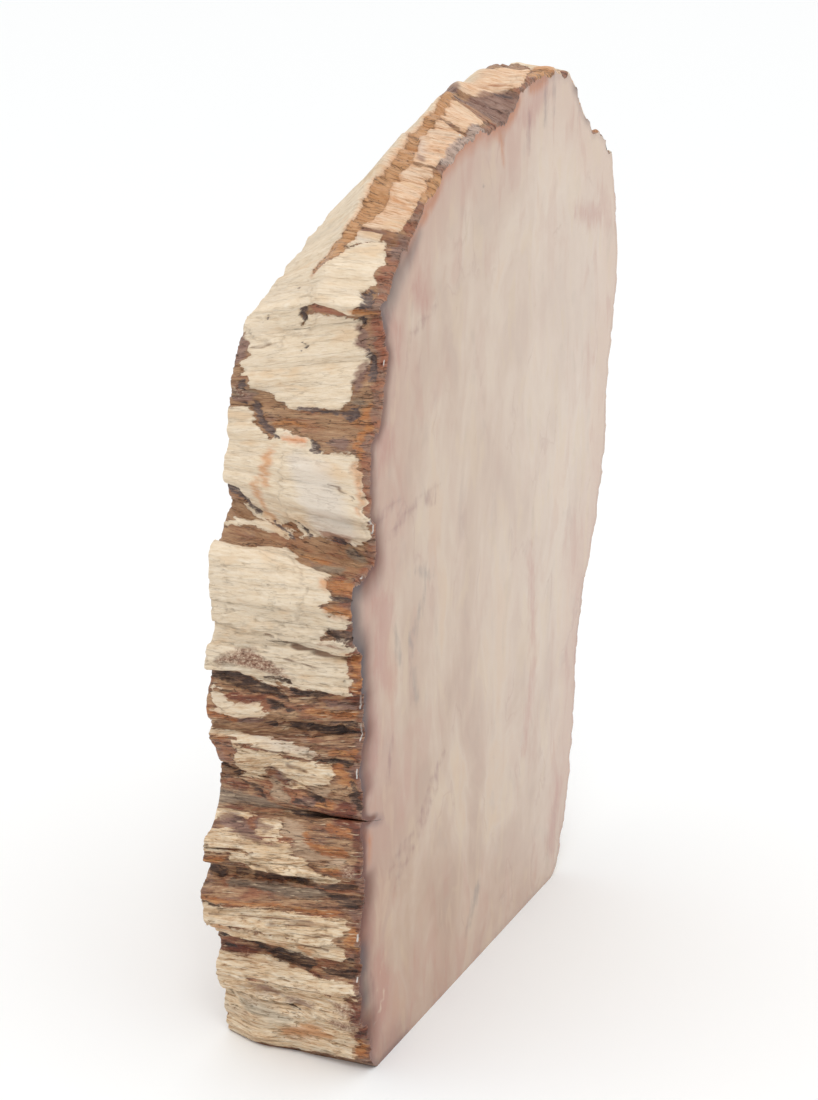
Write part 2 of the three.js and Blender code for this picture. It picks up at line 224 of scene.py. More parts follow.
# Thin splits in the crust
HAIRLINES = [
    [[49, 44, 0.1], [48, 29, 0.1], [47.5, 20, 0.1], [48, 6, 0.1]],
    [[46.4, 28, 0.1], [45.4, 17, 0.1], [45.6, 7, 0.1]],
    [[42.8, 44, 0.1], [41.6, 30, 0.2], [40.4, 18, 0.2], [39.6, 9, 0.1]],
    [[49.6, 36, 0.1], [49.2, 24, 0.2], [48.8, 14, 0.1]],
    [[24.6, 34, 0.1], [23.4, 26, 0.1]],
    [[27.6, 38, 0.1], [26.6, 24, 0.1], [25.6, 12, 0.1]],
    [[66.6, 34, 0.1], [64.4, 20, 0.1]],
    [[75, 14, 0.1], [74.4, 7, 0.2]],
    [[97.6, 24, 0.1], [95.4, 12, 0.1]],
    [[103.4, 32, 0.2], [102, 26, 0.25], [101, 21.6, 0.2]],
    [[134, 27, 0.1], [132.6, 20, 0.35], [131.6, 14.6, 0.6], [130.6, 10, 0.5], [129.2, 3, 0.3]],
    [[129, 22, 0.1], [127, 10, 0.1]],
    [[135.6, 29, 0.2], [135.4, 25.4, 0.2]],
    [[185, 12, 0.1], [182, 5, 0.1]],
    [[196.6, 18, 0.2], [196, 10, 0.25], [195.6, 6, 0.1]],
    # painted shade: a thin dark line under the border of the raised lump on the upper scale
    [[222.6, 41, 0.05], [222.2, 37, 0.15], [222.6, 34, 0.05]],
    [[206, 34, 0.2], [205.6, 29, 0.3]],
    [[238.2, 28.4, 0.3], [238, 27.4, 0.3]],
]
ORANGE_STAINS = [
    # foot
    [[7.6, 26, 1.4], [8.6, 22, 2.2], [9.6, 18, 2.6], [10, 14, 1.8], [9, 12, 1]],
    [[6, 2.6, 1.4], [9, 1.4, 1.2]],
    # tan ledge and the streaks above it
    [[38.8, 29, 0.6], [38.6, 24, 0.7]],
    [[39.6, 18, 0.8], [37.6, 16.4, 1.6]],
    [[44.4, 44, 0.8], [43.6, 39, 0.6]],
    [[47, 1.6, 1.2], [41, 1.6, 1.2]],
    [[54.4, 45, 0.8], [53.4, 38, 0.8], [53, 30, 0.6], [53, 25, 0.6], [52, 15, 0.9], [51, 7, 0.8]],
    [[66.4, 46, 1.5], [66.8, 40.6, 1.2]],
    [[77, 15.6, 0.5], [74.6, 16.4, 0.8], [72.6, 14.4, 1], [71.4, 10.6, 1.6], [71, 6.4, 1.8]],
    [[66.6, 10, 0.8], [65, 6, 0.8]],
    # beside the crack
    [[77.6, 9, 1.2], [77, 3, 1.4]],
    [[86, 14, 1], [86.4, 9, 1.2]],
    [[97.4, 6.4, 1.6], [95, 5.4, 2.2], [94, 3.6, 1.4]],
    [[101.2, 9, 0.7], [101, 2.4, 1]],
    [[106.6, 44.6, 0.9], [105.6, 41, 0.7]],
    [[114.6, 16, 0.8], [113.2, 9, 1.1], [112.6, 3, 1.1]],
    [[115.6, 46, 1], [112.4, 38, 0.8]],
    # great scale
    [[129, 0.8, 1.3], [122, 0.8, 1.3]],
    [[145.4, 7, 0.9], [144.8, 3, 1.8], [144.8, 0.8, 1.8]],
    [[154, 6, 1.2], [152, 3.4, 2], [151.4, 1, 1.6]],
    [[152.4, 9, 0.9], [151.6, 7, 1.2]],
    # shelf and the scale above it
    [[160.8, 21, 0.5], [160.6, 16, 0.6], [160.2, 11.6, 0.5]],
    [[170.6, 33.6, 0.9], [169.8, 31.8, 1]],
    [[182, 35, 0.6], [178, 35.4, 0.9], [174.4, 34.6, 0.8], [172.4, 34, 0.5]],
    [[192, 30.6, 0.8], [189, 32, 1.4], [185, 32.4, 1.2], [181.6, 32.4, 0.8]],
    [[179.4, 2.6, 0.5], [186, 3.2, 0.8], [190, 3.8, 0.8]],
    [[192, 3.4, 1], [196, 3, 1.4], [200.6, 4, 1.4]],
    [[201, 8, 1], [204, 3.6, 0.8]],
    [[200, 31.6, 0.7], [199.8, 27, 0.9], [199.2, 22, 0.7]],
    [[231.6, 7.6, 0.8], [230.6, 5, 1.4], [230.4, 2.4, 1]],
    # shoulder
    *RIDGE_STRIP,
    [[273.6, 9, 0.5], [272.4, 5, 0.4], [271, 2.4, 0.3]],
    [[288, 0.8, 1.2], [282, 0.8, 1.5], [276, 0.8, 1.1]],
    # crown
    [[347, 16.6, 0.6], [346.4, 14.6, 0.6]],
    [[363, 1, 1.4], [367, 1.4, 2], [376, 3, 3]],
]
BRIGHT_ORANGE = [
    [[195.4, 26.4, 0.5], [195, 23.4, 0.9], [194.6, 20.4, 0.6]],
]
RUST_STAINS = [
    # foot and furrows
    [[12.6, 3, 1.4], [13.4, 1, 1.2]],
    [[22.4, 2.6, 1.2], [19.4, 1.4, 1.6]],
    [[31, 15, 0.8], [30.4, 12, 0.6]],
    [[36, 44, 1.2], [35, 38, 1.4], [34.4, 33.6, 0.8]],
    [[65, 4, 1.2], [66, 1.6, 1.4]],
    # beside the crack
    [[81.8, 43, 0.5], [81.6, 37, 0.6]],
    [[84.6, 13, 0.8], [84.4, 9, 1.4], [85, 3.4, 2.2], [86.6, 5.4, 1.6]],
    [[79.8, 8, 0.4], [79.2, 3, 1], [77.6, 1, 1.2], [75, 0.6, 1]],
    [[88.4, 43, 0.9], [87.8, 37, 0.7]],
    # great scale and shelf
    [[118.4, 38, 0.8], [117.8, 30, 0.8]],
    [[118.6, 4, 1], [118, 1.4, 1.6]],
    [[135.2, 10, 0.4], [134.8, 4, 0.8]],
    [[154.6, 7.6, 0.9], [155.6, 5.6, 1]],
    [[169.6, 15.4, 1], [169.4, 11, 1.7], [170.2, 8, 1]],
    # beside the upper scale
    [[215, 0.6, 1.2], [221, 1, 1.6], [226, 1.4, 1.2]],
    [[231.8, 20, 0.8], [231, 15, 0.9], [229.8, 10.6, 0.5]],
    # strip across the crown's scale
    [[349.4, 20, 0.2], [351.4, 16, 0.3], [353.4, 12, 0.4], [355, 8.6, 0.5], [355.4, 6.4, 0.4]],
    [[347, 13.6, 0.2], [349.6, 10, 0.3], [351.6, 6.4, 0.3]],
]
MAUVE_STONE = [
    [[23.6, 36, 0.6], [22.8, 30, 1.1], [22, 25.4, 0.7]],
    [[20.8, 24, 0.5], [20, 19, 0.9], [19.4, 14, 0.6]],
    [[78, 43, 1.2], [76.6, 39, 1.9], [75.2, 34.6, 1.6], [74.4, 31, 0.9], [73, 26, 0.5], [72.4, 23, 0.3]],
    [[77.4, 31, 0.9], [76.4, 27.6, 0.6]],
    [[86.4, 19, 1.2], [87, 12, 1]],
    [[96.6, 29.6, 0.5], [94, 27, 1], [91.6, 24, 0.9], [90.4, 22, 0.4]],
    [[113, 41, 0.6], [112.2, 35, 1.1], [111.8, 29.6, 0.8]],
    [[116.6, 10, 1], [115.6, 3, 1.2]],
    [[194.6, 12, 1], [194.4, 7.6, 1.6]],
    [[207.6, 43, 2], [206.8, 41, 1.6]],
    [[213.6, 6, 1.4], [211.6, 7.2, 1.6], [209, 7.4, 1.2]],
    [[224.6, 7.4, 1], [221, 6.4, 1.8], [218, 5.4, 0.8]],
    [[226, 45, 0.8], [223, 44.6, 2], [220, 44.4, 1.6]],
    [[249, 1, 1], [253, 1, 1.4], [258, 1.4, 1.2]],
    [[260, 14, 0.5], [259.6, 7, 0.6]],
    [[293.8, 9.4, 0.5], [292.6, 8, 1.1], [291.4, 6.8, 0.5]],
    [[336, 13.5, 1.6], [338.4, 9, 3.8], [340.6, 5, 6.2], [342, 1.6, 6.4]],
    [[341, 19, 3], [345, 25, 3.5]],
]
GREY_STONE = [
    [[15.2, 38, 1.4], [14.4, 34, 2.4], [13.8, 29, 3], [13, 25, 1.8]],
    [[3.6, 16, 0.9], [3.8, 12, 0.9]],
    # smooth groove, tan patches, hollow behind the crack
    [[58.4, 38, 0.8], [58, 28, 1.4], [57, 18, 1.8], [56.6, 12, 1.2]],
    [[84.6, 46, 1.8], [85, 38, 1.6], [84.6, 31, 1.4], [83.8, 26, 0.9]],
    # great scale and shelf
    [[126.8, 41.6, 0.8], [126.4, 38.4, 1]],
    [[131.4, 36, 0.8], [131.4, 31.4, 1]],
    [[157.6, 12, 1.8], [158.6, 7.4, 1.6]],
    [[166.6, 7, 1.4], [165.4, 3.6, 1.4]],
    [[174.4, 11, 1.6], [175.4, 7, 1.8]],
    [[206, 7.6, 1], [205.6, 6, 1.4]],
    [[208.4, 44, 1.8], [208.6, 40, 1]],
]
TAN_STONE = [
    [[77, 21.6, 1.8], [75, 17.6, 2.2]],
    [[71.6, 19, 1.4], [70.6, 15, 2.4], [70, 12, 1.6]],
    [[68, 9, 1], [68.4, 7, 1.1]],
    [[90.4, 17.4, 0.9], [90.2, 11, 1.3]],
    [[91.6, 28, 1.2], [88.4, 26, 1.8], [86.4, 23, 1.2]],
    [[294, 1, 1.4], [304, 1, 1.6], [314, 1, 1.4], [324, 1.2, 1.4]],
]
WHITE_BLOOM = [
    [[189, 22, 2.6], [184, 16, 6], [174, 12, 6.4]],
    [[303, 14, 1.4], [296, 9, 1]],
    [[257, 14.6, 0.9], [255.6, 11.6, 1.3]],
    [[106.6, 32, 0.5], [104, 26, 0.7], [102.6, 20, 0.9], [101.2, 14.6, 0.9]],
]
RUSTY_SPECKS = [
    [[127, 41, 1], [128.4, 36, 1.6], [128.6, 31, 2.4], [126.6, 27.6, 2], [124.4, 23.6, 1.2],
     [122.8, 20.6, 0.6]],
    [[15.6, 8.6, 1.8], [15.4, 4.6, 2]],
    [[21.4, 9, 1], [20.4, 4, 1.4]],
    [[66, 5, 1.6], [64.4, 3, 1.6]],
    [[211, 44, 1.2], [208, 43, 1]],
]

# Painted highlights: pale marks on the glaze along the rim, where it glints
PAINTED_RIM_GLINTS = [
    [[177.6, 0.3, 0.2], [173, 0.5, 0.2]],
    [[119.5, 0.6, 0.18], [114.5, 0.6, 0.24]],
    [[109.8, 0.6, 0.18], [104.2, 0.7, 0.24]],
    [[100.6, 1.2, 0.2], [99.4, 1.1, 0.2]],
    [[97.2, 0.4, 0.18], [95.2, 0.4, 0.2]],
    [[46.4, 0.3, 0.2], [44.2, 0.4, 0.24]],
    [[214.8, 0.8, 0.2], [213.6, 0.7, 0.2]],
    [[239, 2.2, 0.2], [237.6, 2.4, 0.2]],
    [[158, 0.5, 0.2], [156.6, 0.4, 0.2]],
    [[31, 0.4, 0.2], [29.4, 0.4, 0.2]],
    [[310, 3, 0.4], [309, 2.4, 0.3]],
    [[296.8, 4.2, 0.3], [296, 3.4, 0.3]],
]

# Marks in the polished face are strokes through points [x, height, half width] in the part's frame.
RED_VEINS = [
    [[-79, 143.6, 0.4], [-72, 145.6, 0.7], [-66, 147.2, 0.7], [-59, 148.6, 0.6], [-51, 149, 0.5],
     [-43.5, 149, 0.3]],
    [[-89, 147, 0.8], [-84, 150, 0.9], [-77, 151.4, 0.6], [-69, 152.6, 0.3]],
    [[-54, 147.6, 0.5], [-50, 146.4, 0.9], [-47, 146.6, 0.4]],
    [[-40, 72.6, 0.7], [-50.6, 66.5, 0.9], [-57.6, 59.5, 0.9], [-62, 56.8, 0.8], [-71, 55.7, 0.8],
     [-79, 51, 0.5]],
    [[-44, 66, 0.4], [-53, 58.6, 0.7], [-63, 52.6, 0.7], [-70, 49.6, 0.6], [-75, 46, 0.3]],
    [[-76, 89, 0.6], [-78, 83, 0.9], [-78.6, 77, 0.4]],
    [[-98, 70, 1.4], [-94, 67, 2.4], [-95, 60, 1.8], [-97, 54, 1]],
    [[21, 241, 0.8], [21.4, 235, 1], [20.6, 229.6, 0.4]],
    [[-47, 197.6, 0.4], [-55, 195.4, 0.8], [-64, 193, 0.4]],
    [[-91, 29, 0.5], [-88, 21, 0.7], [-89.6, 12, 0.4]],
]
PINK_CLOUDS = [
    [[-86, 172, 2], [-79, 168, 4], [-84, 163, 1.5]],
    [[-90, 146, 1.6], [-87, 141, 3], [-88, 137, 1.6]],
    [[-88, 130, 2], [-80, 124, 5], [-84, 112, 4], [-76, 104, 3]],
    [[-92, 104, 2], [-88, 92, 4], [-92, 82, 3]],
    [[-96, 48, 3], [-93, 42, 3.4], [-95, 36, 2]],
    [[-86, 30, 3], [-82, 22, 4.4], [-88, 6, 3.6]],
    [[-79, 200, 2], [-74, 196, 3], [-72, 190, 1.6]],
    [[-62, 205, 2], [-55, 200, 3]],
    [[27, 112, 1.6], [31, 76, 2], [24, 52, 1.6]],
    [[49, 12, 4], [56, 30, 2]],
    [[12, 241, 2], [22, 240, 3.4], [33, 247, 4]],
    [[62, 208, 1.4], [74, 205, 3], [84, 204, 2]],
]
GREY_SMUDGES = [
    [[-54, 123.4, 0.7], [-57, 118.6, 1.1], [-61, 114.6, 1.2], [-65, 112.4, 0.6]],
    [[-56.4, 121, 0.4], [-60.6, 113, 0.8], [-63.4, 108, 0.4]],
    [[-60, 130, 0.4], [-52, 126.4, 0.9], [-48, 126, 0.3]],
    [[-62, 102, 1.4], [-60, 95, 1]],
    [[-74, 118, 0.8], [-71, 108, 1]],
    [[-14, 22, 2], [-22, 12, 1]],
    [[34, 246, 0.8], [34.2, 240, 0.9], [33, 236, 0.4]],
    [[41, 249, 0.9], [41.6, 245, 1.1], [41.3, 239, 0.5]],
]
AMBER_CLOUDS = [
    [[-95, 69, 1.2], [-91.6, 66.4, 1.8], [-92, 60, 1.2]],
    [[-6, 239.4, 2.2], [0, 241.2, 3.2], [6.4, 241.6, 2.6], [12, 244.4, 1.8]],
    [[-1.8, 237.2, 1.8], [0, 234.4, 1.4], [1, 229, 0.8]],
    [[22, 247.4, 2], [28, 249.1, 3.4], [34, 250, 2.8]],
    [[-12.6, 239.6, 0.8], [-20, 238, 1], [-32, 236, 1], [-43, 231.7, 1]],
    [[-46, 227, 1], [-54, 222.6, 1.6], [-57, 220, 0.8]],
]
PALE_ARCS = [
    [[-81.5, 20.8, 0.4], [-82.8, 18.2, 0.8], [-85, 15.4, 0.8], [-88.4, 13, 0.4]],
    [[-84.6, 27, 0.2], [-85.6, 24, 0.5], [-88, 21, 0.3]],
]
# The shade that runs on from the crack
CRACK_SHADE = [
    [[-98, 74, 2.2], [-95, 73, 1.7], [-91, 71.6, 1], [-86.5, 71.4, 0.3]],
]
BLUE_EDGE = [
    [[-97, 138, 1.4], [-100, 131, 5], [-99, 122, 5.4], [-97, 114, 4], [-96, 106, 3], [-95, 97, 1.6]],
    [[-86, 197, 1], [-79, 202, 4], [-74, 206, 4], [-67, 211, 3], [-62, 214.6, 2], [-58, 218, 0.8]],
    [[-98, 88, 1.8], [-96, 82, 1.4]],
    [[-95, 36, 2.4], [-93, 22, 2]],
    [[60, 245, 2], [67, 243, 2.6], [71, 236, 2.4]],
]
DARK_PITS = [
    [[68.6, 242.4, 1], [69, 240.6, 0.6]],
    [[70.6, 236.6, 1], [71.4, 234.8, 0.7]],
    [[-14.6, 225, 0.6], [-13, 225, 0.6]],
]

# The right flank can't be seen in the photograph. Its scales and streaks are of the same kinds and sizes.
FAR_SCALE_HALF_WIDTHS_MM = (3, 11)
FAR_SCALE_GAPS_MM = (1.5, 8)
FAR_SEED = 11


# Shape
def rings_of_slab(cad_node):
    """The CAD slab's rings of points, one at each of its depths. Each starts at the near bottom corner, runs
    up the left flank and ends at the right end of the base."""
    slab = bmesh.new()
    slab.from_mesh(cad_node.data)
    bmesh.ops.remove_doubles(slab, verts=slab.verts, dist=0.001 * MM)
    neighbours = {}
    for edge in slab.edges:
        a, b = edge.verts
        if abs(a.co.y - b.co.y) > 0.01 * MM:
            continue
        if all(abs(face.normal.y) > 0.99 for face in edge.link_faces):
            continue  # inside a sawn face
        neighbours.setdefault(a, []).append(b)
        neighbours.setdefault(b, []).append(a)
    rings = {}
    for point in neighbours:
        rings.setdefault(round(point.co.y / MM, 2), []).append(point)
    ordered = []
    for depth in sorted(rings):
        pairs = [(a, b) for a in rings[depth] for b in neighbours[a]]
        base = max(pairs, key=lambda pair: (pair[0].co - pair[1].co).length)
        start, before = sorted(base, key=lambda point: point.co.x)
        ring = [start]
        while True:
            onward = next(point for point in neighbours[ring[-1]] if point is not before)
            if onward is start:
                break
            before = ring[-1]
            ring.append(onward)
        ordered.append([point.co[:] for point in ring])
    slab.free()
    return np.array(ordered)


def along_curve(points, places):
    """Points at places along rows of points, on a smooth curve through them. Places count rows."""
    steps = np.diff(points, axis=0)
    before = steps[np.maximum(np.arange(len(points)) - 1, 0)]
    after = steps[np.minimum(np.arange(len(points)), len(steps) - 1)]
    slopes = (before + after) / 2
    # A slope longer than the shorter of its steps would make the curve loop in a sharp corner.
    longest = np.minimum(np.linalg.norm(before, axis=-1), np.linalg.norm(after, axis=-1))
    slopes *= np.minimum(1, longest / np.maximum(np.linalg.norm(slopes, axis=-1), 1e-12))[..., None]
    left = np.clip(np.floor(places).astype(int), 0, len(points) - 2)
    t = (places - left).reshape(-1, *[1] * (points.ndim - 1))
    start, end = points[left], points[left + 1]
    rise = t * t * (3 - 2 * t)
    leave, arrive = t * (1 - t) ** 2, t * t * (1 - t)
    return start + (end - start) * rise + slopes[left] * leave - slopes[left + 1] * arrive


def lengths_along(ring):
    steps = np.linalg.norm(np.diff(ring, axis=0), axis=1)
    return np.concatenate([[0], np.cumsum(steps)])


def smooth_step(value, low, high):
    t = np.clip((value - low) / (high - low), 0, 1)
    return t * t * (3 - 2 * t)


def fine_rings(coarse):
    """The slab's rings on a finer grid, closed along the base: points[row, column], and how far along each
    column lies. The edge between the polished face and the rind is rounded."""
    depths = coarse[:, 0, 1] - coarse[0, 0, 1]
    ridge = int(np.argmin(np.abs(depths - RIDGE_DEPTH)))
    along = lengths_along(coarse[ridge])
    # Columns are spaced by the longest of the rings, so that the crack's walls get enough of them.
    steps = np.linalg.norm(np.diff(coarse, axis=1), axis=2).max(axis=0)
    gap = np.where(along[:-1] < LEDGES_END_MM * MM, POINT_GAP, FAR_POINT_GAP)
    counts = np.concatenate([[0], np.cumsum(steps / gap)])
    columns = np.interp(np.arange(int(counts[-1]) + 1), counts, np.arange(len(counts)))
    rind = along_curve(np.swapaxes(coarse, 0, 1), columns)  # column, coarse row
    base_width = np.linalg.norm(rind[-1, 1] - rind[0, 1])
    base_count = int(base_width / BASE_POINT_GAP)
    share = (np.arange(1, base_count) / base_count)[:, None, None]
    base = rind[-1] + (rind[0] - rind[-1]) * share
    rind = np.concatenate([rind, base])
    along = np.interp(columns, np.arange(len(along)), along)
    along = np.concatenate([along, along[-1] + share[:, 0, 0] * base_width])

    inner = np.arange(depths[1], depths[-2], DEPTH_GAP)
    inner[-1] = depths[-2]
    places = np.interp(inner, depths[1:-1], np.arange(len(depths) - 2))
    rows = along_curve(np.swapaxes(rind, 0, 1)[1:-1], places)
    rounding = np.array(WORN_EDGE_ROWS)
    inward = 1 - np.sqrt(1 - (1 - rounding) ** 2)
    front, back = rind[:, 0], rind[:, -1]

    def worn_edge(sawn, first):
        edge = first + (sawn - first) * inward[:, None, None]
        edge[:, :, 1] = sawn[:, 1] + (first - sawn)[:, 1] * rounding[:, None]
        return edge

    rows = np.concatenate([worn_edge(front, rows[0]), rows, worn_edge(back, rows[-1])[::-1]])
    close_crack(rows, along)
    lower_crown(rows, along)
    return rows, along


def lower_crown(rows, along):
    """Lowers the places that CROWN_DROPS_MM gives, with soft borders."""
    depths = (rows[:, 0, 1] - rows[0, 0, 1]) / MM
    for start, end, behind, drop in CROWN_DROPS_MM:
        place = smooth_step(along / MM, start - CROWN_FADE_MM, start)
        place *= smooth_step(along / MM, end + CROWN_FADE_MM, end)
        rows[..., 2] -= smooth_step(depths, behind, behind + CROWN_FADE_MM)[:, None] * place * drop * MM


def close_crack(rows, along):
    """Draws the walls of the crack together near the polished face, so that it is a slit that ends in a
    hairline."""
    lower, upper = (int(np.argmin(np.abs(along - edge))) for edge in CRACK_EDGES)
    for row in rows:
        strength = 1 - smooth_step((row[0, 1] - rows[0, 0, 1]) / MM, *CRACK_DEPTH_MM)
        tip = lower + int(np.argmax(row[lower : upper + 1, 0]))
        walls = [np.arange(lower, tip + 1), np.arange(upper, tip - 1, -1)]
        x = row[:, 0].copy()
        middle = 0
        for wall in walls:
            middle = middle + np.interp(x, np.maximum.accumulate(x[wall]), row[wall, 2]) / 2
        mouth = max(x[lower], x[upper])
        closed = CRACK_SHUT[0] + CRACK_SHUT[1] * smooth_step(x, mouth, mouth + CRACK_SLIT_MM * MM)
        shift = (middle - row[:, 2]) * closed * strength
        # The rind beside the mouth follows its corners.
        below, above = along[lower] - along[:lower], along[upper + 1 :] - along[upper]
        shift[:lower] = shift[lower] * (1 - smooth_step(below, 0, CRACK_SIDE_MM * MM))
        shift[upper + 1 :] = shift[upper] * (1 - smooth_step(above, 0, CRACK_SIDE_MM * MM))
        row[:, 2] += shift


def outward_directions(rows, along):
    """Vectors out of the rind, in the plane of its ring. Near the base they lie level, to keep it flat, and
    they shrink to nothing in the crack."""
    span = np.roll(rows, -1, axis=1) - np.roll(rows, 1, axis=1)
    out = np.stack([-span[..., 2], np.zeros(span.shape[:2]), span[..., 0]], axis=-1)
    out /= np.maximum(np.linalg.norm(out, axis=-1, keepdims=True), 1e-9)
    out[..., 2] *= smooth_step(rows[..., 2], 0, FLAT_FOOT)
    before, after = CRACK[0] - along, along - CRACK[1]
    out *= smooth_step(np.maximum(before, after), 0, CRACK_FADE)[:, None]
    return out


def frayed(places):
    """Moves places on the rind a little, mostly with the grain: borders run out in fibres and teeth."""
    moved = places.copy()
    share = fray_share(places[:, 0])
    for sideways, with_grain, across, length in JAGS_MM:
        for i, (along, depth) in enumerate(places):
            moved[i, 0] += share[i] * sideways * noise.noise((along / across, depth / length, 0))
            moved[i, 1] += share[i] * with_grain * noise.noise((along / across, depth / length, 7))
    return moved


def fray_share(along_mm):
    return np.interp(along_mm, *zip(*FRAY_BY_ALONG))


def stroke_distance(places, strokes):
    """How far inside the nearest stroke each place is, in mm, and less than nothing outside."""
    best = np.full(len(places), -float(FIELD_LIMIT_MM))
    for stroke in strokes:
        points = np.array(stroke, float)
        for a, b in zip(points, points[1:]):
            way = b[:2] - a[:2]
            t = np.clip((places - a[:2]) @ way / max(way @ way, 1e-9), 0, 1)
            off = np.linalg.norm(places - a[:2] - t[:, None] * way, axis=1)
            best = np.maximum(best, a[2] + t * (b[2] - a[2]) - off)
    return best


def outline_distance(places, outlines):
    """How far inside the nearest outline each place is, in mm, and less than nothing outside."""
    best = np.full(len(places), -float(FIELD_LIMIT_MM))
    for outline in outlines:
        corners = np.array(outline, float)
        off = np.full(len(places), np.inf)
        inside = np.zeros(len(places), bool)
        for a, b in zip(corners, np.roll(corners, -1, axis=0)):
            way = b - a
            t = np.clip((places - a) @ way / max(way @ way, 1e-9), 0, 1)
            off = np.minimum(off, np.linalg.norm(places - a - t[:, None] * way, axis=1))
            spans = (a[1] > places[:, 1]) != (b[1] > places[:, 1])
            rise = np.where(b[1] == a[1], 1e-9, b[1] - a[1])
            inside ^= spans & (places[:, 0] < a[0] + way[0] * (places[:, 1] - a[1]) / rise)
        best = np.maximum(best, np.where(inside, off, -off))
    return np.minimum(best, FIELD_LIMIT_MM)


def far_flank_markings():
    """Scales, streaks and stains of the right flank: strokes with the grain, of random sizes and places."""
    chance = np.random.default_rng(FAR_SEED)
    marks = {"scales": [], "dark": [], "orange": [], "rust": [], "mauve": [], "grey": []}

    def stroke(along, near, far, half_width, drift, wander):
        """A stroke from near to far behind the face, of uneven width."""
        points = []
        for share in np.linspace(0, 1, 5):
            place = along + drift * share + chance.uniform(-wander, wander)
            points.append([place, near + (far - near) * share, half_width * chance.uniform(0.5, 1.1)])
        return points

    middle = LEDGES_END_MM + 4
    while middle < RIND_END_MM:
        half = chance.uniform(*FAR_SCALE_HALF_WIDTHS_MM)
        gap = chance.uniform(*FAR_SCALE_GAPS_MM)
        drift = chance.uniform(-6, 6)
        middle += 0.9 * half
        near, far = chance.uniform(-8, 10), chance.uniform(32, 54)
        marks["scales"].append(stroke(middle, near, far, half, drift, 2))
        edge = middle + half + gap / 2
        start = chance.uniform(-2, 24)
        end = start + chance.uniform(8, 24)
        marks["dark"].append(stroke(edge, start, end, chance.uniform(0.8, 1.8), drift, 0.8))
        start = chance.uniform(-2, 30)
        marks["rust"].append(stroke(edge + 1, start, start + chance.uniform(6, 18), gap / 3, drift, 1))
        start = chance.uniform(0, 34)
        marks["mauve"].append(stroke(edge - 1, start, start + chance.uniform(6, 18), gap / 3, drift, 1))
        marks["orange"].append(stroke(middle, -1, chance.uniform(3, 14), chance.uniform(1, 2.4), 0, 2))
        start = chance.uniform(2, 34)
        end = start + chance.uniform(4, 12)
        marks["grey"].append(stroke(middle, start, end, chance.uniform(1, 3), 0, 1))
        middle += 0.8 * half + gap
    return marks


def markings(along_mm, depth_mm):
    """The rind's markings as distances inside their borders, one value for each point."""
    places = frayed(np.stack([along_mm, depth_mm], axis=1))
    far = far_flank_markings()
    cream = np.maximum(outline_distance(places, CREAM_SCALES), stroke_distance(places, far["scales"]))
    cream = np.minimum(cream, -stroke_distance(places, BARE_STONE))
    return {
        "cream_crust": cream,
        "thick_crust": outline_distance(places, THICK_CRUST),
        "painted_rim_glint": stroke_distance(np.stack([along_mm, depth_mm], axis=1), PAINTED_RIM_GLINTS),
        "dark_streak": stroke_distance(places, DARK_STREAKS + far["dark"]),
        "orange_stain": stroke_distance(places, ORANGE_STAINS + far["orange"]),
        "bright_orange": stroke_distance(places, BRIGHT_ORANGE),
        "rust_stain": stroke_distance(places, RUST_STAINS + far["rust"]),
        "mauve_stone": stroke_distance(places, MAUVE_STONE + far["mauve"]),
        "grey_stone": stroke_distance(places, GREY_STONE + far["grey"]),
        "tan_stone": stroke_distance(places, TAN_STONE),
        "hairline": stroke_distance(places, HAIRLINES),
        "white_bloom": stroke_distance(places, WHITE_BLOOM),
        "rusty_specks": stroke_distance(places, RUSTY_SPECKS),
        "fray_share": fray_share(along_mm),
    }


def sawn_face(rim, gap):
    """Triangles that fill a flat sawn face, from its rim of points: (points inside, triangles). Rows of
    points near the rim let the colour change close to it."""
    flat = rim[:, [0, 2]]
    span = np.roll(flat, -4, axis=0) - np.roll(flat, 4, axis=0)
    inward = np.stack([span[:, 1], -span[:, 0]], axis=1)
    inward /= np.linalg.norm(inward, axis=1, keepdims=True)
    picks = []
    for inset, every in RIM_ROWS_MM:
        picks.append((flat + inward * inset * MM)[::every])
        picks[-1] = picks[-1][rim_distance(picks[-1], flat) > 0.85 * inset * MM]
    low, high = flat.min(axis=0), flat.max(axis=0)
    columns, levels = (np.arange(low[axis], high[axis], gap) for axis in (0, 1))
    grid = np.stack(np.meshgrid(columns, levels), -1).reshape(-1, 2)
    grid = grid[inside_outline(grid, flat)]
    picks.append(grid[rim_distance(grid, flat) > RIM_CLEAR_MM * MM])
    inside = np.concatenate(picks)
    inside = inside[inside_outline(inside, flat)]
    count = len(flat)
    edges = [(i, (i + 1) % count) for i in range(count)]
    points = [Vector(p) for p in np.concatenate([flat, inside])]
    # It fills the whole hull round the points, so the triangles outside the rim are dropped.
    made, _, triangles, sources, _, _ = geometry.delaunay_2d_cdt(points, edges, [], 0, 1e-7)
    names = [min(source) for source in sources]
    centres = np.array([[sum(made[i][k] for i in tri) / 3 for k in (0, 1)] for tri in triangles])
    keep = inside_outline(centres, flat)
    kept = [[names[i] for i in tri] for tri, held in zip(triangles, keep) if held]
    return inside, kept


def rim_distance(places, rim):
    """Distance from each flat place to the nearest point of the rim."""
    nearest = np.full(len(places), np.inf)
    for point in rim:
        nearest = np.minimum(nearest, np.linalg.norm(places - point, axis=1))
    return nearest


def inside_outline(places, outline):
    inside = np.zeros(len(places), bool)
    for a, b in zip(outline, np.roll(outline, -1, axis=0)):
        spans = (a[1] > places[:, 1]) != (b[1] > places[:, 1])
        rise = b[1] - a[1] or 1e-12
        inside ^= spans & (places[:, 0] < a[0] + (b[0] - a[0]) * (places[:, 1] - a[1]) / rise)
    return inside


POLISHED, RIND, SAWN = 0, 1, 2  # kinds of surface, in the attribute "surface"


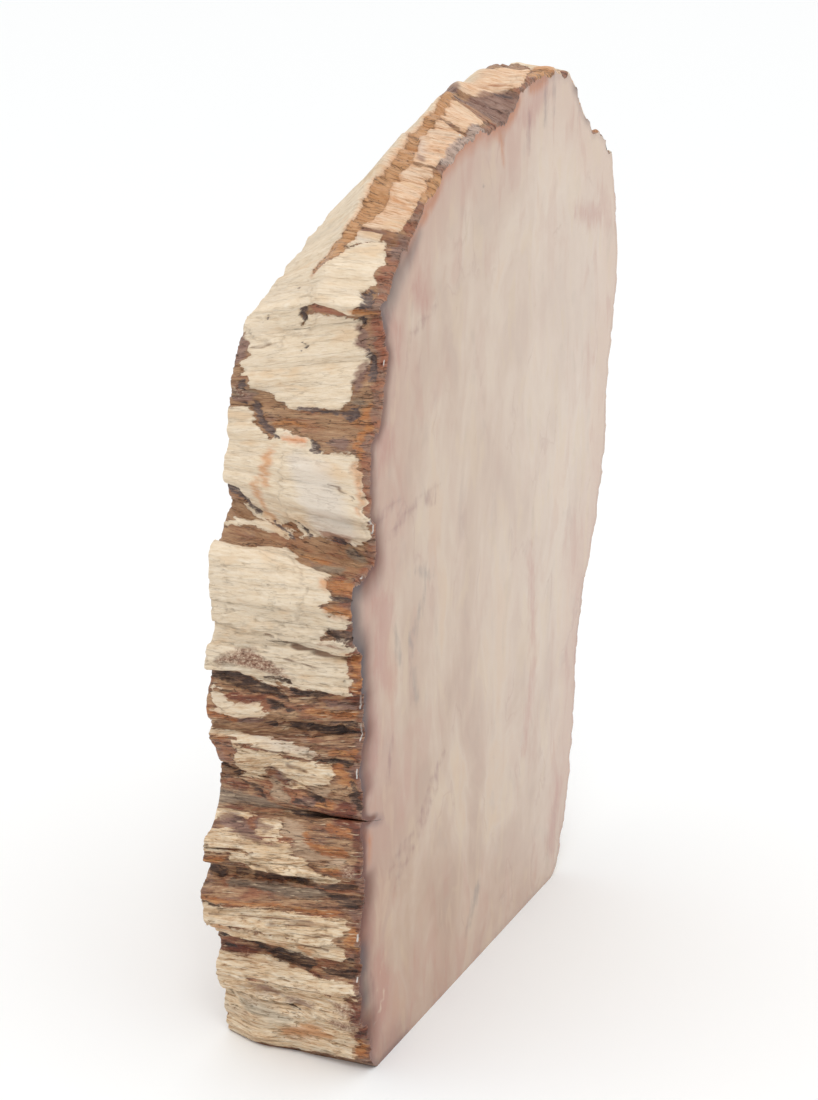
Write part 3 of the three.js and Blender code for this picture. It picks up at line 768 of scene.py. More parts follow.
def carry(mesh, name, kind, values, domain="POINT"):
    """Keeps values in the mesh under this name, for the relief and the materials."""
    numbers = values.astype(np.int32 if kind == "INT" else np.float32).ravel()
    key = "vector" if kind == "FLOAT_VECTOR" else "value"
    mesh.attributes.new(name, kind, domain).data.foreach_set(key, numbers)


def slab_mesh():
    rows, along = fine_rings(rings_of_slab(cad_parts[SLAB]))
    row_count, column_count = rows.shape[:2]
    front_inside, front_triangles = sawn_face(rows[0], FACE_POINT_GAP)
    back_inside, back_triangles = sawn_face(rows[-1], BACK_POINT_GAP)
    rind_points = rows.reshape(-1, 3)
    front_points = np.insert(front_inside, 1, rows[0, 0, 1], axis=1)
    back_points = np.insert(back_inside, 1, rows[-1, 0, 1], axis=1)
    points = np.concatenate([rind_points, front_points, back_points])

    faces = []
    for row in range(row_count - 1):
        for column in range(column_count):
            a = row * column_count + column
            b = row * column_count + (column + 1) % column_count
            faces.append((a, b, b + column_count, a + column_count))
    surfaces = [RIND] * len(faces)
    last_row = (row_count - 1) * column_count

    def add_sawn(triangles, rim_start, inside_start, surface, facing):
        for triangle in triangles:
            corners = [i + (rim_start if i < column_count else inside_start) for i in triangle]
            a, b, c = (points[i] for i in corners)
            if np.cross(b - a, c - a)[1] * facing < 0:
                corners.reverse()
            faces.append(tuple(corners))
            surfaces.append(surface)

    front_end = len(rind_points) + len(front_points)
    add_sawn(front_triangles, 0, len(rind_points) - column_count, POLISHED, -1)
    add_sawn(back_triangles, last_row, front_end - column_count, SAWN, 1)

    mesh = bpy.data.meshes.new(SLAB + "_stone")
    mesh.from_pydata(points.tolist(), [], faces)
    on_base = np.tile(np.arange(column_count) >= int(np.argmax(along >= RIND_END_MM * MM)), row_count - 1)
    surfaces = np.array(surfaces)
    surfaces[: len(on_base)][on_base] = SAWN
    carry(mesh, "surface", "INT", surfaces, "FACE")

    depth_mm = (points[:, 1] - rows[0, 0, 1]) / MM
    along_mm = np.concatenate([np.tile(along / MM, row_count), np.zeros(len(points) - len(rind_points))])
    out = np.zeros((len(points), 3))
    out[: len(rind_points)] = outward_directions(rows, along).reshape(-1, 3)
    carry(mesh, "outward", "FLOAT_VECTOR", out)
    carry(mesh, "grain", "FLOAT_VECTOR", np.stack([along_mm, depth_mm, np.zeros(len(points))], axis=1))
    values = markings(along_mm, depth_mm)
    from_rim = np.zeros(len(points))
    from_rim[len(rind_points) : front_end] = rim_distance(front_inside, rows[0][:, [0, 2]]) / MM
    values["rim_distance"] = from_rim
    in_face = np.zeros(len(points), bool)
    in_face[:column_count] = True
    in_face[len(rind_points) : front_end] = True
    face_places = points[in_face][:, [0, 2]] / MM
    face_marks = {
        "red_vein": RED_VEINS,
        "pink_cloud": PINK_CLOUDS,
        "grey_smudge": GREY_SMUDGES,
        "amber_cloud": AMBER_CLOUDS,
        "crack_shade": CRACK_SHADE,
        "blue_edge": BLUE_EDGE,
        "pale_arc": PALE_ARCS,
        "dark_pit": DARK_PITS,
    }
    for name, strokes in face_marks.items():
        values[name] = np.full(len(points), -float(FIELD_LIMIT_MM))
        values[name][in_face] = stroke_distance(face_places, strokes)
    for name, numbers in values.items():
        carry(mesh, name, "FLOAT", numbers)
    lay_out_for_baking(mesh, points, along_mm, depth_mm)
    return mesh


def lay_out_for_baking(mesh, points, along_mm, depth_mm):
    """A tight map of the whole surface on one square: the two sawn faces side by side, and the unrolled rind
    in two strips under them."""
    uv = mesh.uv_layers.new(name="OFBake")
    corners = np.zeros(len(mesh.loops), np.int32)
    mesh.loops.foreach_get("vertex_index", corners)
    first = np.zeros(len(mesh.polygons), np.int32)
    mesh.polygons.foreach_get("loop_start", first)
    sides = np.zeros(len(mesh.polygons), np.int32)
    mesh.polygons.foreach_get("loop_total", sides)
    face_of = np.repeat(np.arange(len(first)), sides)
    x, z = points[corners, 0], points[corners, 2]
    low, high = points.min(axis=0), points.max(axis=0)
    across, up = (x - low[0]) / (high[0] - low[0]), (z - low[2]) / (high[2] - low[2])
    normals = np.zeros(len(mesh.polygons) * 3)
    mesh.polygons.foreach_get("normal", normals)
    facing = normals.reshape(-1, 3)[face_of, 1]
    quads = sides[face_of] == 4

    margin, half, face_top = 0.004, 0.5, 0.39
    u = np.where(facing < 0, margin, half + margin) + across * (half - 2 * margin)
    v = face_top + margin + up * (1 - face_top - 2 * margin)
    total = along_mm.max() + BASE_POINT_GAP / MM
    along = along_mm[corners].copy()
    # The last column of faces closes the ring, so its far corners lie one step past the end.
    start = np.minimum.reduceat(along, first)
    finish = np.maximum.reduceat(along, first)
    closing = (finish - start > total / 2)[face_of]
    along[closing & (along < total / 2)] += total
    strip = ((start > total / 2) & (finish - start < total / 2)) | (finish - start > total / 2)
    strip = strip[face_of]
    strip_height = face_top / 2
    strip_u = margin + (along - np.where(strip, total / 2, 0)) / (total / 2 + 2) * (1 - 2 * margin)
    strip_v = np.where(strip, strip_height, 0) + margin
    strip_v = strip_v + depth_mm[corners] / SLAB_DEPTH_MM * (strip_height - 2 * margin)
    u = np.where(quads, strip_u, u)
    v = np.where(quads, strip_v, v)
    uv.data.foreach_set("uv", np.stack([u, v], axis=1).astype(np.float32).ravel())


# Nodes
def colour(hex_code):
    """An sRGB hex colour as linear values."""
    channels = [int(hex_code[i : i + 2], 16) / 255 for i in (1, 3, 5)]
    linear = [c / 12.92 if c <= 0.04045 else ((c + 0.055) / 1.055) ** 2.4 for c in channels]
    return (*linear, 1)


def add(tree, kind, inputs=None, output=0, **settings):
    """Adds a node and gives one of its outputs. settings are its properties. inputs go by socket name or
    number, and each is a value, a hex colour or what add gave for another node."""
    node = tree.nodes.new(kind)
    for name, value in settings.items():
        setattr(node, name, value)
    for key, value in (inputs or {}).items():
        socket = node.inputs[key]
        if isinstance(value, Pattern):
            tree.links.new(value.socket, socket)
        elif isinstance(value, str) and value.startswith("#"):
            socket.default_value = colour(value)
        else:
            socket.default_value = value
    if node.outputs:
        return Pattern(tree, node.outputs[output])


class Pattern:
    """An output of a node: a value that changes over the surface. Arithmetic on it adds Math nodes."""

    def __init__(self, tree, socket):
        self.tree = tree
        self.socket = socket

    def math(self, operation, *others):
        return add(self.tree, "ShaderNodeMath", dict(enumerate([self, *others])), operation=operation)

    def __add__(self, other):
        return self.math("ADD", other)

    def __sub__(self, other):
        return self.math("SUBTRACT", other)

    def __mul__(self, other):
        return self.math("MULTIPLY", other)

    def __truediv__(self, other):
        return self.math("DIVIDE", other)

    def __abs__(self):
        return self.math("ABSOLUTE")


def between(value, low, high, to_low=0.0, to_high=1.0):
    """Smooth change from to_low to to_high as value goes from low to high."""
    inputs = {"Value": value, "From Min": low, "From Max": high, "To Min": to_low, "To Max": to_high}
    return add(value.tree, "ShaderNodeMapRange", inputs, interpolation_type="SMOOTHSTEP")


def in_zone(value, start, end, soft=4.0):
    """Share of a zone that reaches from start to end, with soft borders."""
    return between(value, start - soft, start) * between(value, end + soft, end)


def drawn_out(place, sizes_mm, **sockets):
    """Noise with blotches of these sizes along the three axes."""
    scales = tuple(1 / size for size in sizes_mm)
    place = add(place.tree, "ShaderNodeVectorMath", {0: place, 1: scales}, operation="MULTIPLY")
    return add(place.tree, "ShaderNodeTexNoise", {"Vector": place, "Scale": 1.0, **sockets})


def streaks(grain, across_mm, length_mm, detail=4.0, roughness=0.6):
    """Noise drawn out along the grain: its streaks are across_mm wide and length_mm long."""
    return drawn_out(grain, (across_mm, length_mm, 1), Detail=detail, Roughness=roughness)


def shades(value, *stops):
    """Colours by position, from a value. Each stop is (position, hex colour)."""
    shaded = add(value.tree, "ShaderNodeValToRGB", {0: value})
    points = shaded.socket.node.color_ramp.elements
    while len(points) < len(stops):
        points.new(0.5)
    for point, (position, hex_code) in zip(points, stops):
        point.position = position
        point.color = colour(hex_code)
    return shaded


def blend(share, first, second):
    """Colour mix: first where share is 0, second where it is 1. At least one of the three is a pattern."""
    tree = next(part.tree for part in (share, first, second) if isinstance(part, Pattern))
    return add(tree, "ShaderNodeMix", {0: share, 6: first, 7: second}, 2, data_type="RGBA")


def marking(tree, name, output="Fac"):
    """What the mesh carries under this name, such as the distance inside a marking's border, in mm."""
    return add(tree, "ShaderNodeAttribute", {}, output, attribute_name=name, attribute_type="GEOMETRY")


# Weathered relief
RELIEF = {
    "Crust height mm": 0.6,
    "Streak depth mm": 0.9,
    "Fibre height mm": 0.34,
    "Rib height mm": 0.75,
    "Fray mm": 0.5,
    "Split depth mm": 0.6,
}


def relief_tree(stone_materials):
    """Raises the cream crust, sinks the dark streaks, adds the fibres and frays the markings' borders."""
    tree = bpy.data.node_groups.new("weathered_grain", "GeometryNodeTree")
    for direction in ("INPUT", "OUTPUT"):
        tree.interface.new_socket("Slab", in_out=direction, socket_type="NodeSocketGeometry")
    for name in RELIEF:
        tree.interface.new_socket(name, in_out="INPUT", socket_type="NodeSocketFloat")
    given = {name: add(tree, "NodeGroupInput", {}, name) for name in ("Slab", *RELIEF)}

    def attribute(name, data_type="FLOAT"):
        return add(tree, "GeometryNodeInputNamedAttribute", {"Name": name}, data_type=data_type)

    grain = attribute("grain", "FLOAT_VECTOR")
    up = add(tree, "ShaderNodeSeparateXYZ", {0: add(tree, "GeometryNodeInputPosition")}, 2)
    # The lower flank is more fibrous than the upper one.
    low = between(up, 0.17, 0.1)

    def wave(across_mm, length_mm, size, detail=3.0):
        """Noise with the grain, about size up and down."""
        centred = streaks(grain, across_mm, length_mm, detail=detail) - 0.5
        return centred * 4.0 * size

    fray = wave(1.3, 5, given["Fray mm"]) * attribute("fray_share")
    threads = wave(1.0, 14, given["Fray mm"]) * (low * 2.6)
    cream = attribute("cream_crust") + fray + threads
    lumps = attribute("thick_crust") + fray
    dark = attribute("dark_streak") + fray * 0.5
    orange = attribute("orange_stain") + fray
    grey = attribute("grey_stone") + fray

    crusted = between(cream, -0.3, 0.3)
    thick = crusted * between(lumps, -0.3, 0.4)
    layers = crusted + thick * 1.1
    height = layers * given["Crust height mm"]
    height -= between(dark, -0.5, 0.6) * given["Streak depth mm"]
    calm = crusted * between(low, 1, 0)
    rough = between(crusted, 0, 1, 1, 0.6) * between(calm, 0, 1, 1, 0.6)
    height += wave(1.1, 12, given["Fibre height mm"], 2.0) * rough
    # Ribs are strong on the lower flank and on bare stone, and faint on the smooth upper scales.
    share = low.math("MAXIMUM", between(crusted, 0, 1, 0.8, 0.25))
    height += wave(3.2, 40, given["Rib height mm"], 2.0) * share
    # Flakes missing from the crust, and narrow splits along the grain
    flakes = between(streaks(grain, 2.6, 7, detail=3), 0.38, 0.3)
    height -= flakes * between(calm, 0, 1, 0.3, 0.15)
    split = abs(streaks(grain, 3.5, 24, detail=2) - 0.5)
    split = between(split, 0.02, 0.0) * between(calm, 0, 1, 1, 0.4)
    height -= split * given["Split depth mm"]

    way = {0: attribute("outward", "FLOAT_VECTOR"), "Scale": height * MM}
    way = add(tree, "ShaderNodeVectorMath", way, operation="SCALE")
    slab = add(tree, "GeometryNodeSetPosition", {"Geometry": given["Slab"], "Offset": way})
    frayed_fields = {
        "cream_crust": cream,
        "thick_crust": lumps,
        "dark_streak": dark,
        "orange_stain": orange,
        "grey_stone": grey,
    }
    for name, value in frayed_fields.items():
        inputs = {"Geometry": slab, "Name": name, "Value": value}
        slab = add(tree, "GeometryNodeStoreNamedAttribute", inputs, data_type="FLOAT")
    slab = add(tree, "GeometryNodeRealizeInstances", {0: slab})
    for surface, material in enumerate(stone_materials):
        chosen = {2: attribute("surface", "INT"), 3: surface}
        chosen = add(tree, "FunctionNodeCompare", chosen, data_type="INT", operation="EQUAL")
        inputs = {"Geometry": slab, "Selection": chosen, "Material": material}
        slab = add(tree, "GeometryNodeSetMaterial", inputs)
    add(tree, "NodeGroupOutput", {0: slab})
    return tree


# Materials
STONE_IOR = 1.54
HEART_MM = (-20, 0, -96)  # moves the heart of the log, which lies right of the middle, to nought
RING_STRETCH = (1.35, 0.0, 0.8)  # the rings follow the slab's tall outline

# Zones of the polished face, up from the base
UPPER_FACE_MM = (120, 170)
BESIDE_CRACK_MM = (60, 77)

# Zones of the rind, along it. The first two are given as the ends of a soft change.
LOWER_FLANK_MM = (128, 96)
UPPER_FLANK_MM = (135, 165)
DEEPER_GLAZE_MM = (186, 262)
AMBER_RIND_MM = (246, 372)
SHOULDER_MM = (260, 372)
ROSY_RIND_MM = (286, 330)


def new_material(name):
    material = bpy.data.materials.new(name)
    material.use_nodes = True
    material.node_tree.nodes.clear()
    return material, material.node_tree


def finish_material(tree, base, roughness, bump=None, bump_height=0.0, **sockets):
    inputs = {"Base Color": base, "Roughness": roughness, **sockets}
    if bump is not None:
        bump = {"Height": bump, "Strength": 1.0, "Distance": bump_height}
        inputs["Normal"] = add(tree, "ShaderNodeBump", bump)
    add(tree, "ShaderNodeOutputMaterial", {"Surface": add(tree, "ShaderNodeBsdfPrincipled", inputs)})


def wood_figure(tree, ring_share, ring_detail):
    """The figure of the log in its sawn faces: growth rings, rays and clouds, as one colour. ring_share is
    how much of it the rings are."""
    place = add(tree, "ShaderNodeTexCoord", {}, "Object")
    millimetres = add(tree, "ShaderNodeVectorMath", {0: place, "Scale": 1 / MM}, operation="SCALE")
    heart = {"Vector": millimetres, "Location": HEART_MM, "Scale": RING_STRETCH}
    heart = add(tree, "ShaderNodeMapping", heart, vector_type="POINT")
    drift = add(tree, "ShaderNodeTexNoise", {"Vector": heart, "Scale": 1 / 55, "Detail": 3.0}, 1)
    drift = add(tree, "ShaderNodeVectorMath", {0: drift, 1: (0.5, 0.5, 0.5)}, operation="SUBTRACT")
    drift = add(tree, "ShaderNodeVectorMath", {0: drift, "Scale": 34.0}, operation="SCALE")
    warped = add(tree, "ShaderNodeVectorMath", {0: heart, 1: drift}, operation="ADD")
    radius = add(tree, "ShaderNodeVectorMath", {0: warped}, "Value", operation="LENGTH")
    rings = {"W": radius, "Scale": 0.2, "Detail": ring_detail}
    rings = add(tree, "ShaderNodeTexNoise", rings, noise_dimensions="1D")
    clouds = {"Vector": warped, "Scale": 1 / 32, "Detail": 3.5, "Roughness": 0.5}
    clouds = add(tree, "ShaderNodeTexNoise", clouds)
    drawn = drawn_out(warped, (9, 1, 50), Detail=ring_detail)
    ring_part = (rings + drawn) * (ring_share / 2)
    tint = ring_part + clouds * (1 - ring_share)
    tans = [(0.38, "#A37D5E"), (0.45, "#AD8A6B"), (0.51, "#B49478"), (0.57, "#BB9F83"), (0.64, "#BC9A78")]
    return millimetres, warped, shades(tint, *tans)


def polished_cut():
    """Agatised wood, sawn across the grain and polished: glassy, tan and mauve, with soft growth rings."""
    material, tree = new_material("polished_petrified_wood")
    millimetres, warped, base = wood_figure(tree, 0.15, 2.0)

    # Paler up the face and to the right
    x, z = (add(tree, "ShaderNodeSeparateXYZ", {0: millimetres}, axis) for axis in ("X", "Z"))
    paler = between(x, -80, 100, 0, 0.6) + between(z, 0, 220, 0, 0.4)
    base = blend(paler, base, blend(0.55, base, "#E2CFBD"))
    rim = marking(tree, "rim_distance")
    wander = add(tree, "ShaderNodeTexNoise", {"Vector": millimetres, "Scale": 1 / 16, "Detail": 4.0})
    wander = wander - 0.5
    reach = rim + wander * 26.0
    wavy = (drawn_out(millimetres, (2.2, 1, 6), Detail=4.0) - 0.5) * 4.0

    def smear(name, share, hex_code, soft, wander_mm):
        """Colours a marking, with a soft border."""
        inside = between(marking(tree, name) + wavy * wander_mm, -soft, soft, 0, share)
        return blend(inside, base, hex_code)

    # Browner sapwood near the rind
    rosy = blend(paler, "#A36F54", "#C7A58B")
    over_base = between(z, 34, 6) * between(x, -78, -50)
    near_rind = between(reach, 28, 4, 0, 0.7) * between(over_base, 0, 1, 1, 0.35)
    base = blend(near_rind, base, rosy)
    # Soft blushes of pink and tan, drawn out up the face
    blush = drawn_out(millimetres, (9, 1, 24), Detail=3.0, Distortion=0.6)
    pinker = between(blush, 0.5, 0.68, 0, 0.3)
    base = blend(pinker * between(rim, 60, 10, 0.3, 1), base, "#A8654A")
    base = blend(between(blush, 0.46, 0.34, 0, 0.25), base, "#CBAF88")
    for mark in (
        ("pink_cloud", 0.5, "#A45A40", 3.5, 2.4),
        ("grey_smudge", 0.45, "#62564B", 1.8, 1.6),
        ("red_vein", 0.55, "#7A3D2B", 1.5, 1.3),
        ("amber_cloud", 0.85, "#B0611C", 1.8, 0.8),
        ("crack_shade", 0.85, "#3A251C", 1.2, 0.3),
        ("pale_arc", 0.6, "#E3CDAF", 0.6, 0.1),
    ):
        base = smear(*mark)
    # A reddish brown stain at the rim
    patchy = add(tree, "ShaderNodeTexNoise", {"Vector": millimetres, "Scale": 1 / 22, "Detail": 2.0})
    stain = between(rim, 2.6, 0.2) * between(patchy, 0.42, 0.56, 0.4, 1)
    # An amber glaze lies along the shoulder's edge.
    shoulder = in_zone(x, -66, 12, 8) * between(z, 120, 160)
    stain_colour = blend(shoulder, "#6B3420", "#A2581C")
    stain_share = (shoulder * 0.75).math("MAXIMUM", between(x, -50, -80, 0.25, 0.75))
    base = blend(stain * stain_share, base, stain_colour)
    glow = between(rim + wander * 5.0, 4.5, 0.5)
    base = blend(glow * (shoulder * 0.6), base, "#AC6228")
    # A shade along the left rim, bluish in places. It doesn't follow the crack into the face.
    reach = between(z, *UPPER_FACE_MM, 10.5, 5)
    edge = (rim + wander * 6.0) / reach
    beside_crack = between(x, -90, -95)
    left = {0: in_zone(z, *BESIDE_CRACK_MM), 2: between(x, -56, -74), 3: beside_crack}
    left = add(tree, "ShaderNodeMix", left, data_type="FLOAT") * between(z, 2, 16, 0.35, 1)
    edge = between(edge, 1, 0) * left
    blue = between(marking(tree, "blue_edge"), -3.6, 2)
    edge = edge.math("MAXIMUM", blue * between(rim, 11, 0)) * between(z, *UPPER_FACE_MM, 1, 0.75)
    edge_colour = blend(blue, "#5A2A1C", "#3B3941")
    base = blend(edge * 0.82, base, edge_colour)
    # Thin reddish hairlines along the noise's middle value
    vein_noise = add(tree, "ShaderNodeTexNoise", {"Vector": warped, "Scale": 1 / 30, "Detail": 5.0})
    vein = between(abs(vein_noise - 0.5), 0.02, 0.0) * between(patchy, 0.5, 0.62)
    base = blend(vein * 0.18, base, "#8C5645")
    smudge = add(tree, "ShaderNodeTexNoise", {"Vector": warped, "Scale": 1 / 11, "Detail": 4.0})
    base = blend(between(smudge, 0.58, 0.74, 0, 0.14), base, "#85776B")
    base = smear("dark_pit", 0.85, "#3A302B", 0.7, 0.2)
    # The polish is worn along the rim and in the crack.
    worn = edge.math("MAXIMUM", between(marking(tree, "crack_shade"), -1, 0.6))
    worn = worn.math("MAXIMUM", between(marking(tree, "amber_cloud"), -1.8, 1.8, 0, 0.5))
    gloss = between(worn, 0, 1, 0.5, 0.1)
    shine = {"Specular IOR Level": gloss, "Coat Weight": gloss, "Coat Roughness": 0.08}
    finish_material(tree, base, 0.16, IOR=STONE_IOR, **shine)
    return material


def honed_cut():
    """The same wood, sawn and left matt: the back and the base."""
    material, tree = new_material("sawn_petrified_wood")
    millimetres, _, base = wood_figure(tree, 0.4, 4.0)
    saw = {"Vector": millimetres, "Scale": 0.12, "Distortion": 1.5, "Detail": 2.0}
    saw = add(tree, "ShaderNodeTexWave", saw, 1)
    grit = add(tree, "ShaderNodeTexNoise", {"Vector": millimetres, "Scale": 1.4, "Detail": 3.0})
    base = blend(between(grit, 0.4, 0.8, 0, 0.35), base, "#8D7768")
    finish_material(tree, base, 0.55, bump=grit + saw, bump_height=0.06 * MM, IOR=STONE_IOR)
    return material


def weathered_rind():
    """Bark side of the fossil log: matt cream crust, chalky and fibrous, over glossy brown chalcedony."""
    material, tree = new_material("weathered_petrified_bark")
    grain = marking(tree, "grain", "Vector")
    fine = streaks(grain, 0.45, 4, detail=6, roughness=0.72)
    medium = streaks(grain, 1.2, 14, detail=6, roughness=0.66)
    broad = streaks(grain, 5, 30, detail=3)
    patches = streaks(grain, 7, 18, detail=3)
    blotches = streaks(grain, 4, 7, detail=4)
    hair = between(abs(streaks(grain, 2.6, 24, detail=4) - 0.5), 0.011, 0.002)
    gaps = between(streaks(grain, 0.6, 9, detail=2), 0.36, 0.31)
    threads = between(streaks(grain, 0.5, 7, detail=3), 0.6, 0.67)
    specks = between(streaks(grain, 0.7, 1.3, detail=4, roughness=0.7), 0.64, 0.72)
    teeth = (streaks(grain, 0.55, 2.0, detail=4) - 0.5) * 2.6 * marking(tree, "fray_share")

    def inside(name, soft=0.12):
        """Share of a marking, with teeth on its border that are finer than the mesh."""
        return between(marking(tree, name) + teeth, -soft, soft)

    along, depth = (add(tree, "ShaderNodeSeparateXYZ", {0: grain}, axis) for axis in ("X", "Y"))
    along_about = along + (broad - 0.5) * 16.0
    low = between(along_about, *LOWER_FLANK_MM)
    shoulder = in_zone(along, *SHOULDER_MM) * between(depth, 20, 14)

    # Bare stone, smoother on the upper flank
    tone = medium * 0.45 + fine * 0.4 + broad * 0.15
    upper = between(along_about, *UPPER_FLANK_MM)
    calmer = tone * 0.52 + 0.265
    tone = add(tree, "ShaderNodeMix", {0: upper, 2: tone, 3: calmer}, data_type="FLOAT")

    browns = [(0.38, "#492A1B"), (0.45, "#7C5138"), (0.51, "#A47A58"), (0.57, "#C39C77"), (0.66, "#DFC09C")]
    stone = shades(tone, *browns)
    rusty = shades(tone, (0.38, "#54260F"), (0.5, "#97583A"), (0.62, "#C58A5E"))
    mauve = shades(tone, (0.38, "#55372C"), (0.5, "#896556"), (0.62, "#B59482"))
    grey = shades(tone, (0.38, "#57463A"), (0.5, "#8B735E"), (0.62, "#B9A288"))
    tan = shades(tone, (0.38, "#8F7055"), (0.5, "#B8977A"), (0.62, "#D3B79A"))
    orange = shades(tone, (0.38, "#7A3F1E"), (0.5, "#B06E3D"), (0.62, "#D8A26A"))
    amber = shades(tone, (0.38, "#955B2E"), (0.5, "#C68E5C"), (0.62, "#DDB287"))
    brick_low = shades(tone, (0.38, "#40180D"), (0.5, "#6F3420"), (0.62, "#9C6040"))
    brick_high = shades(tone, (0.38, "#5C281A"), (0.5, "#98573E"), (0.62, "#BC8464"))
    brick = blend(upper, brick_low, brick_high)
    rosy = shades(tone, (0.38, "#9A7C6C"), (0.5, "#BCA090"), (0.62, "#D6C1B0"))
    dark_low = shades(tone, (0.4, "#231712"), (0.48, "#463129"), (0.56, "#745744"), (0.66, "#A68468"))
    dark_high = shades(tone, (0.42, "#362B2C"), (0.5, "#5E4E4B"), (0.58, "#8C7871"))
    dark = blend(upper, dark_low, dark_high)
    orange = blend(in_zone(along, *AMBER_RIND_MM), orange, amber)
    tan = blend(in_zone(along, *ROSY_RIND_MM), tan, rosy)
    rust_share = between(upper, 0, 1, 0.7, 0.4)
    stone = blend(between(patches, 0.5, 0.58) * rust_share, stone, rusty)
    stone = blend(between(blotches, 0.43, 0.35, 0, 0.5), stone, mauve)
    # Polishing has left a red-brown glaze on the rind beside the face
    glaze = depth + (broad - 0.5) * 9.0 - in_zone(along, *DEEPER_GLAZE_MM, 12)
    glaze = between(glaze, 2.8, 1.4, 0, 0.75)
    stone = blend(glaze, stone, blend(between(blotches, 0.56, 0.44), brick, mauve))
    for name, colours, soft in (
        ("grey_stone", grey, 0.8),
        ("tan_stone", tan, 0.5),
        ("mauve_stone", mauve, 0.7),
        ("orange_stain", orange, 0.6),
        ("rust_stain", brick, 0.6),
    ):
        stone = blend(inside(name, soft), stone, colours)

    # Crust: smooth and pale on the upper scales, tan and fibrous on the lower flank, peach by the crown
    crust_tone = fine * 0.6 + medium * 0.4
    crust = shades(crust_tone, (0.3, "#BA9877"), (0.38, "#D9C0A1"), (0.46, "#E6D1B4"), (0.6, "#F0E0C9"))
    golden = shades(crust_tone, (0.37, "#986E4E"), (0.43, "#CFA780"), (0.49, "#E7CBA6"), (0.6, "#F6E6CE"))
    peach = shades(crust_tone, (0.36, "#A06845"), (0.43, "#CFA07A"), (0.5, "#E2BB98"), (0.62, "#F0D9BE"))
    crust = blend(low, crust, golden)
    crust = blend(shoulder, crust, peach)
    # Brown fibres run through the lower crust.
    fibres = between(streaks(grain, 1.8, 22, detail=4), 0.53, 0.64, 0, 0.6)
    crust = blend(fibres * low, crust, "#A97F58")
    crust = blend(between(broad, 0.5, 0.68, 0, 0.35), crust, "#D5C5B0")
    crust = blend(between(patches, 0.54, 0.68, 0, 0.5), crust, "#E0BC92")
    pale_grey = shades(tone, (0.38, "#AA9880"), (0.5, "#D3C3AB"), (0.62, "#E6DAC6"))
    for name, soft, share, colours in (
        ("grey_stone", 1.5, 0.9, pale_grey),
        ("mauve_stone", 0.8, 0.8, mauve),
        ("white_bloom", 2.5, 0.6, "#E2D8CD"),
        ("tan_stone", 0.5, 0.9, tan),
        ("orange_stain", 1.4, 0.8, "#D49766"),
        ("bright_orange", 1.2, 0.85, "#E08A50"),
        ("rust_stain", 0.8, 0.7, rusty),
    ):
        crust = blend(inside(name, soft) * share, crust, colours)

    # Hairline splits, gaps and pits in the crust, pale threads on the bare stone
    cracks = hair.math("MAXIMUM", gaps)
    line_share = between(along, 150, 90, 0.12, 0.6)
    crust = blend(cracks * line_share, crust, "#8A6038")
    crust = blend(between(marking(tree, "hairline"), -0.4, 0.2, 0, 0.85), crust, "#6E4A32")
    crust = blend(specks * 0.35, crust, "#8A6A4C")
    # Painted shade: a faint dark line round the border of the thick crust, standing in for the shade of its
    # ledge
    thick_crust_shade_line = abs(marking(tree, "thick_crust") + teeth)
    crust = blend(between(thick_crust_shade_line, 0.6, 0.1, 0, 0.16), crust, "#8C7056")
    stone = blend(threads * between(upper, 0, 1, 0.75, 0.25), stone, "#DFC6A4")
    stone = blend(cracks * 0.7, stone, "#3A241A")

    crusted = inside("cream_crust")
    base = blend(crusted, stone, crust)
    rust_grains = streaks(grain, 0.7, 1.2, detail=4, roughness=0.75)
    rusts = [(0.38, "#5E3826"), (0.46, "#93674F"), (0.54, "#B69680"), (0.62, "#DCC8AC")]
    speckled = shades(rust_grains, *rusts)
    base = blend(inside("rusty_specks", 1.2) * 0.95, base, speckled)
    darkened = inside("dark_streak", 0.2)
    base = blend(darkened * between(fine, 0.62, 0.5, 0.45, 0.95), base, dark)
    # Painted highlights: the glints along the rim, as pale marks
    base = blend(between(marking(tree, "painted_rim_glint"), -0.05, 0.12), base, "#DCD6CF")

    # The crust is matt, bare stone is glossy where the weather has worn it smooth.
    roughness = between(medium, 0.35, 0.65, 0.24, 0.45)
    matt = {0: crusted * 0.9, 2: roughness, 3: 0.85}
    roughness = add(tree, "ShaderNodeMix", matt, data_type="FLOAT")
    pores = streaks(grain, 0.35, 1.6, detail=2)
    bump = fine * 1.0 + pores * 0.6
    lines = hair + specks + gaps
    bump = bump - lines * 0.25
    bump = bump * between(crusted * upper, 0, 1, 1, 0.6)
    finish_material(tree, base, roughness, bump=bump, bump_height=0.5 * MM, IOR=STONE_IOR)
    return material


# The stone
source = bpy.data.objects.new("source", slab_mesh())
bpy.context.scene.collection.objects.link(source)
tree = relief_tree([polished_cut(), weathered_rind(), honed_cut()])
modifier = source.modifiers.new("relief", "NODES")
modifier.node_group = tree
for item in tree.interface.items_tree:
    if item.name in RELIEF:
        modifier[item.identifier] = RELIEF[item.name]
evaluated = source.evaluated_get(bpy.context.evaluated_depsgraph_get())
stone_mesh = bpy.data.meshes.new_from_object(evaluated)
stone = bpy.data.objects.new(SLAB + "_stone", stone_mesh)
bpy.context.scene.collection.objects.link(stone)
bpy.data.objects.remove(source)
flat_faces = np.zeros(len(stone_mesh.polygons), np.int32)
stone_mesh.attributes["surface"].data.foreach_get("value", flat_faces)
stone_mesh.polygons.foreach_set("use_smooth", flat_faces == RIND)
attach(stone, "root")
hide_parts(SLAB)


# Floor, light and camera
FLOOR_REACH = 12.0
TENT_STRENGTH = 0.58
LAMPS_AIM_AT = Vector((0, 0, 0.12))
# Name, place, size and power
LAMPS = [
    ("tent_roof", (0, 0, 8.0), 40.0, 2200),
    ("window", (-0.75, -0.35, 1.1), 0.35, 2.4),
]


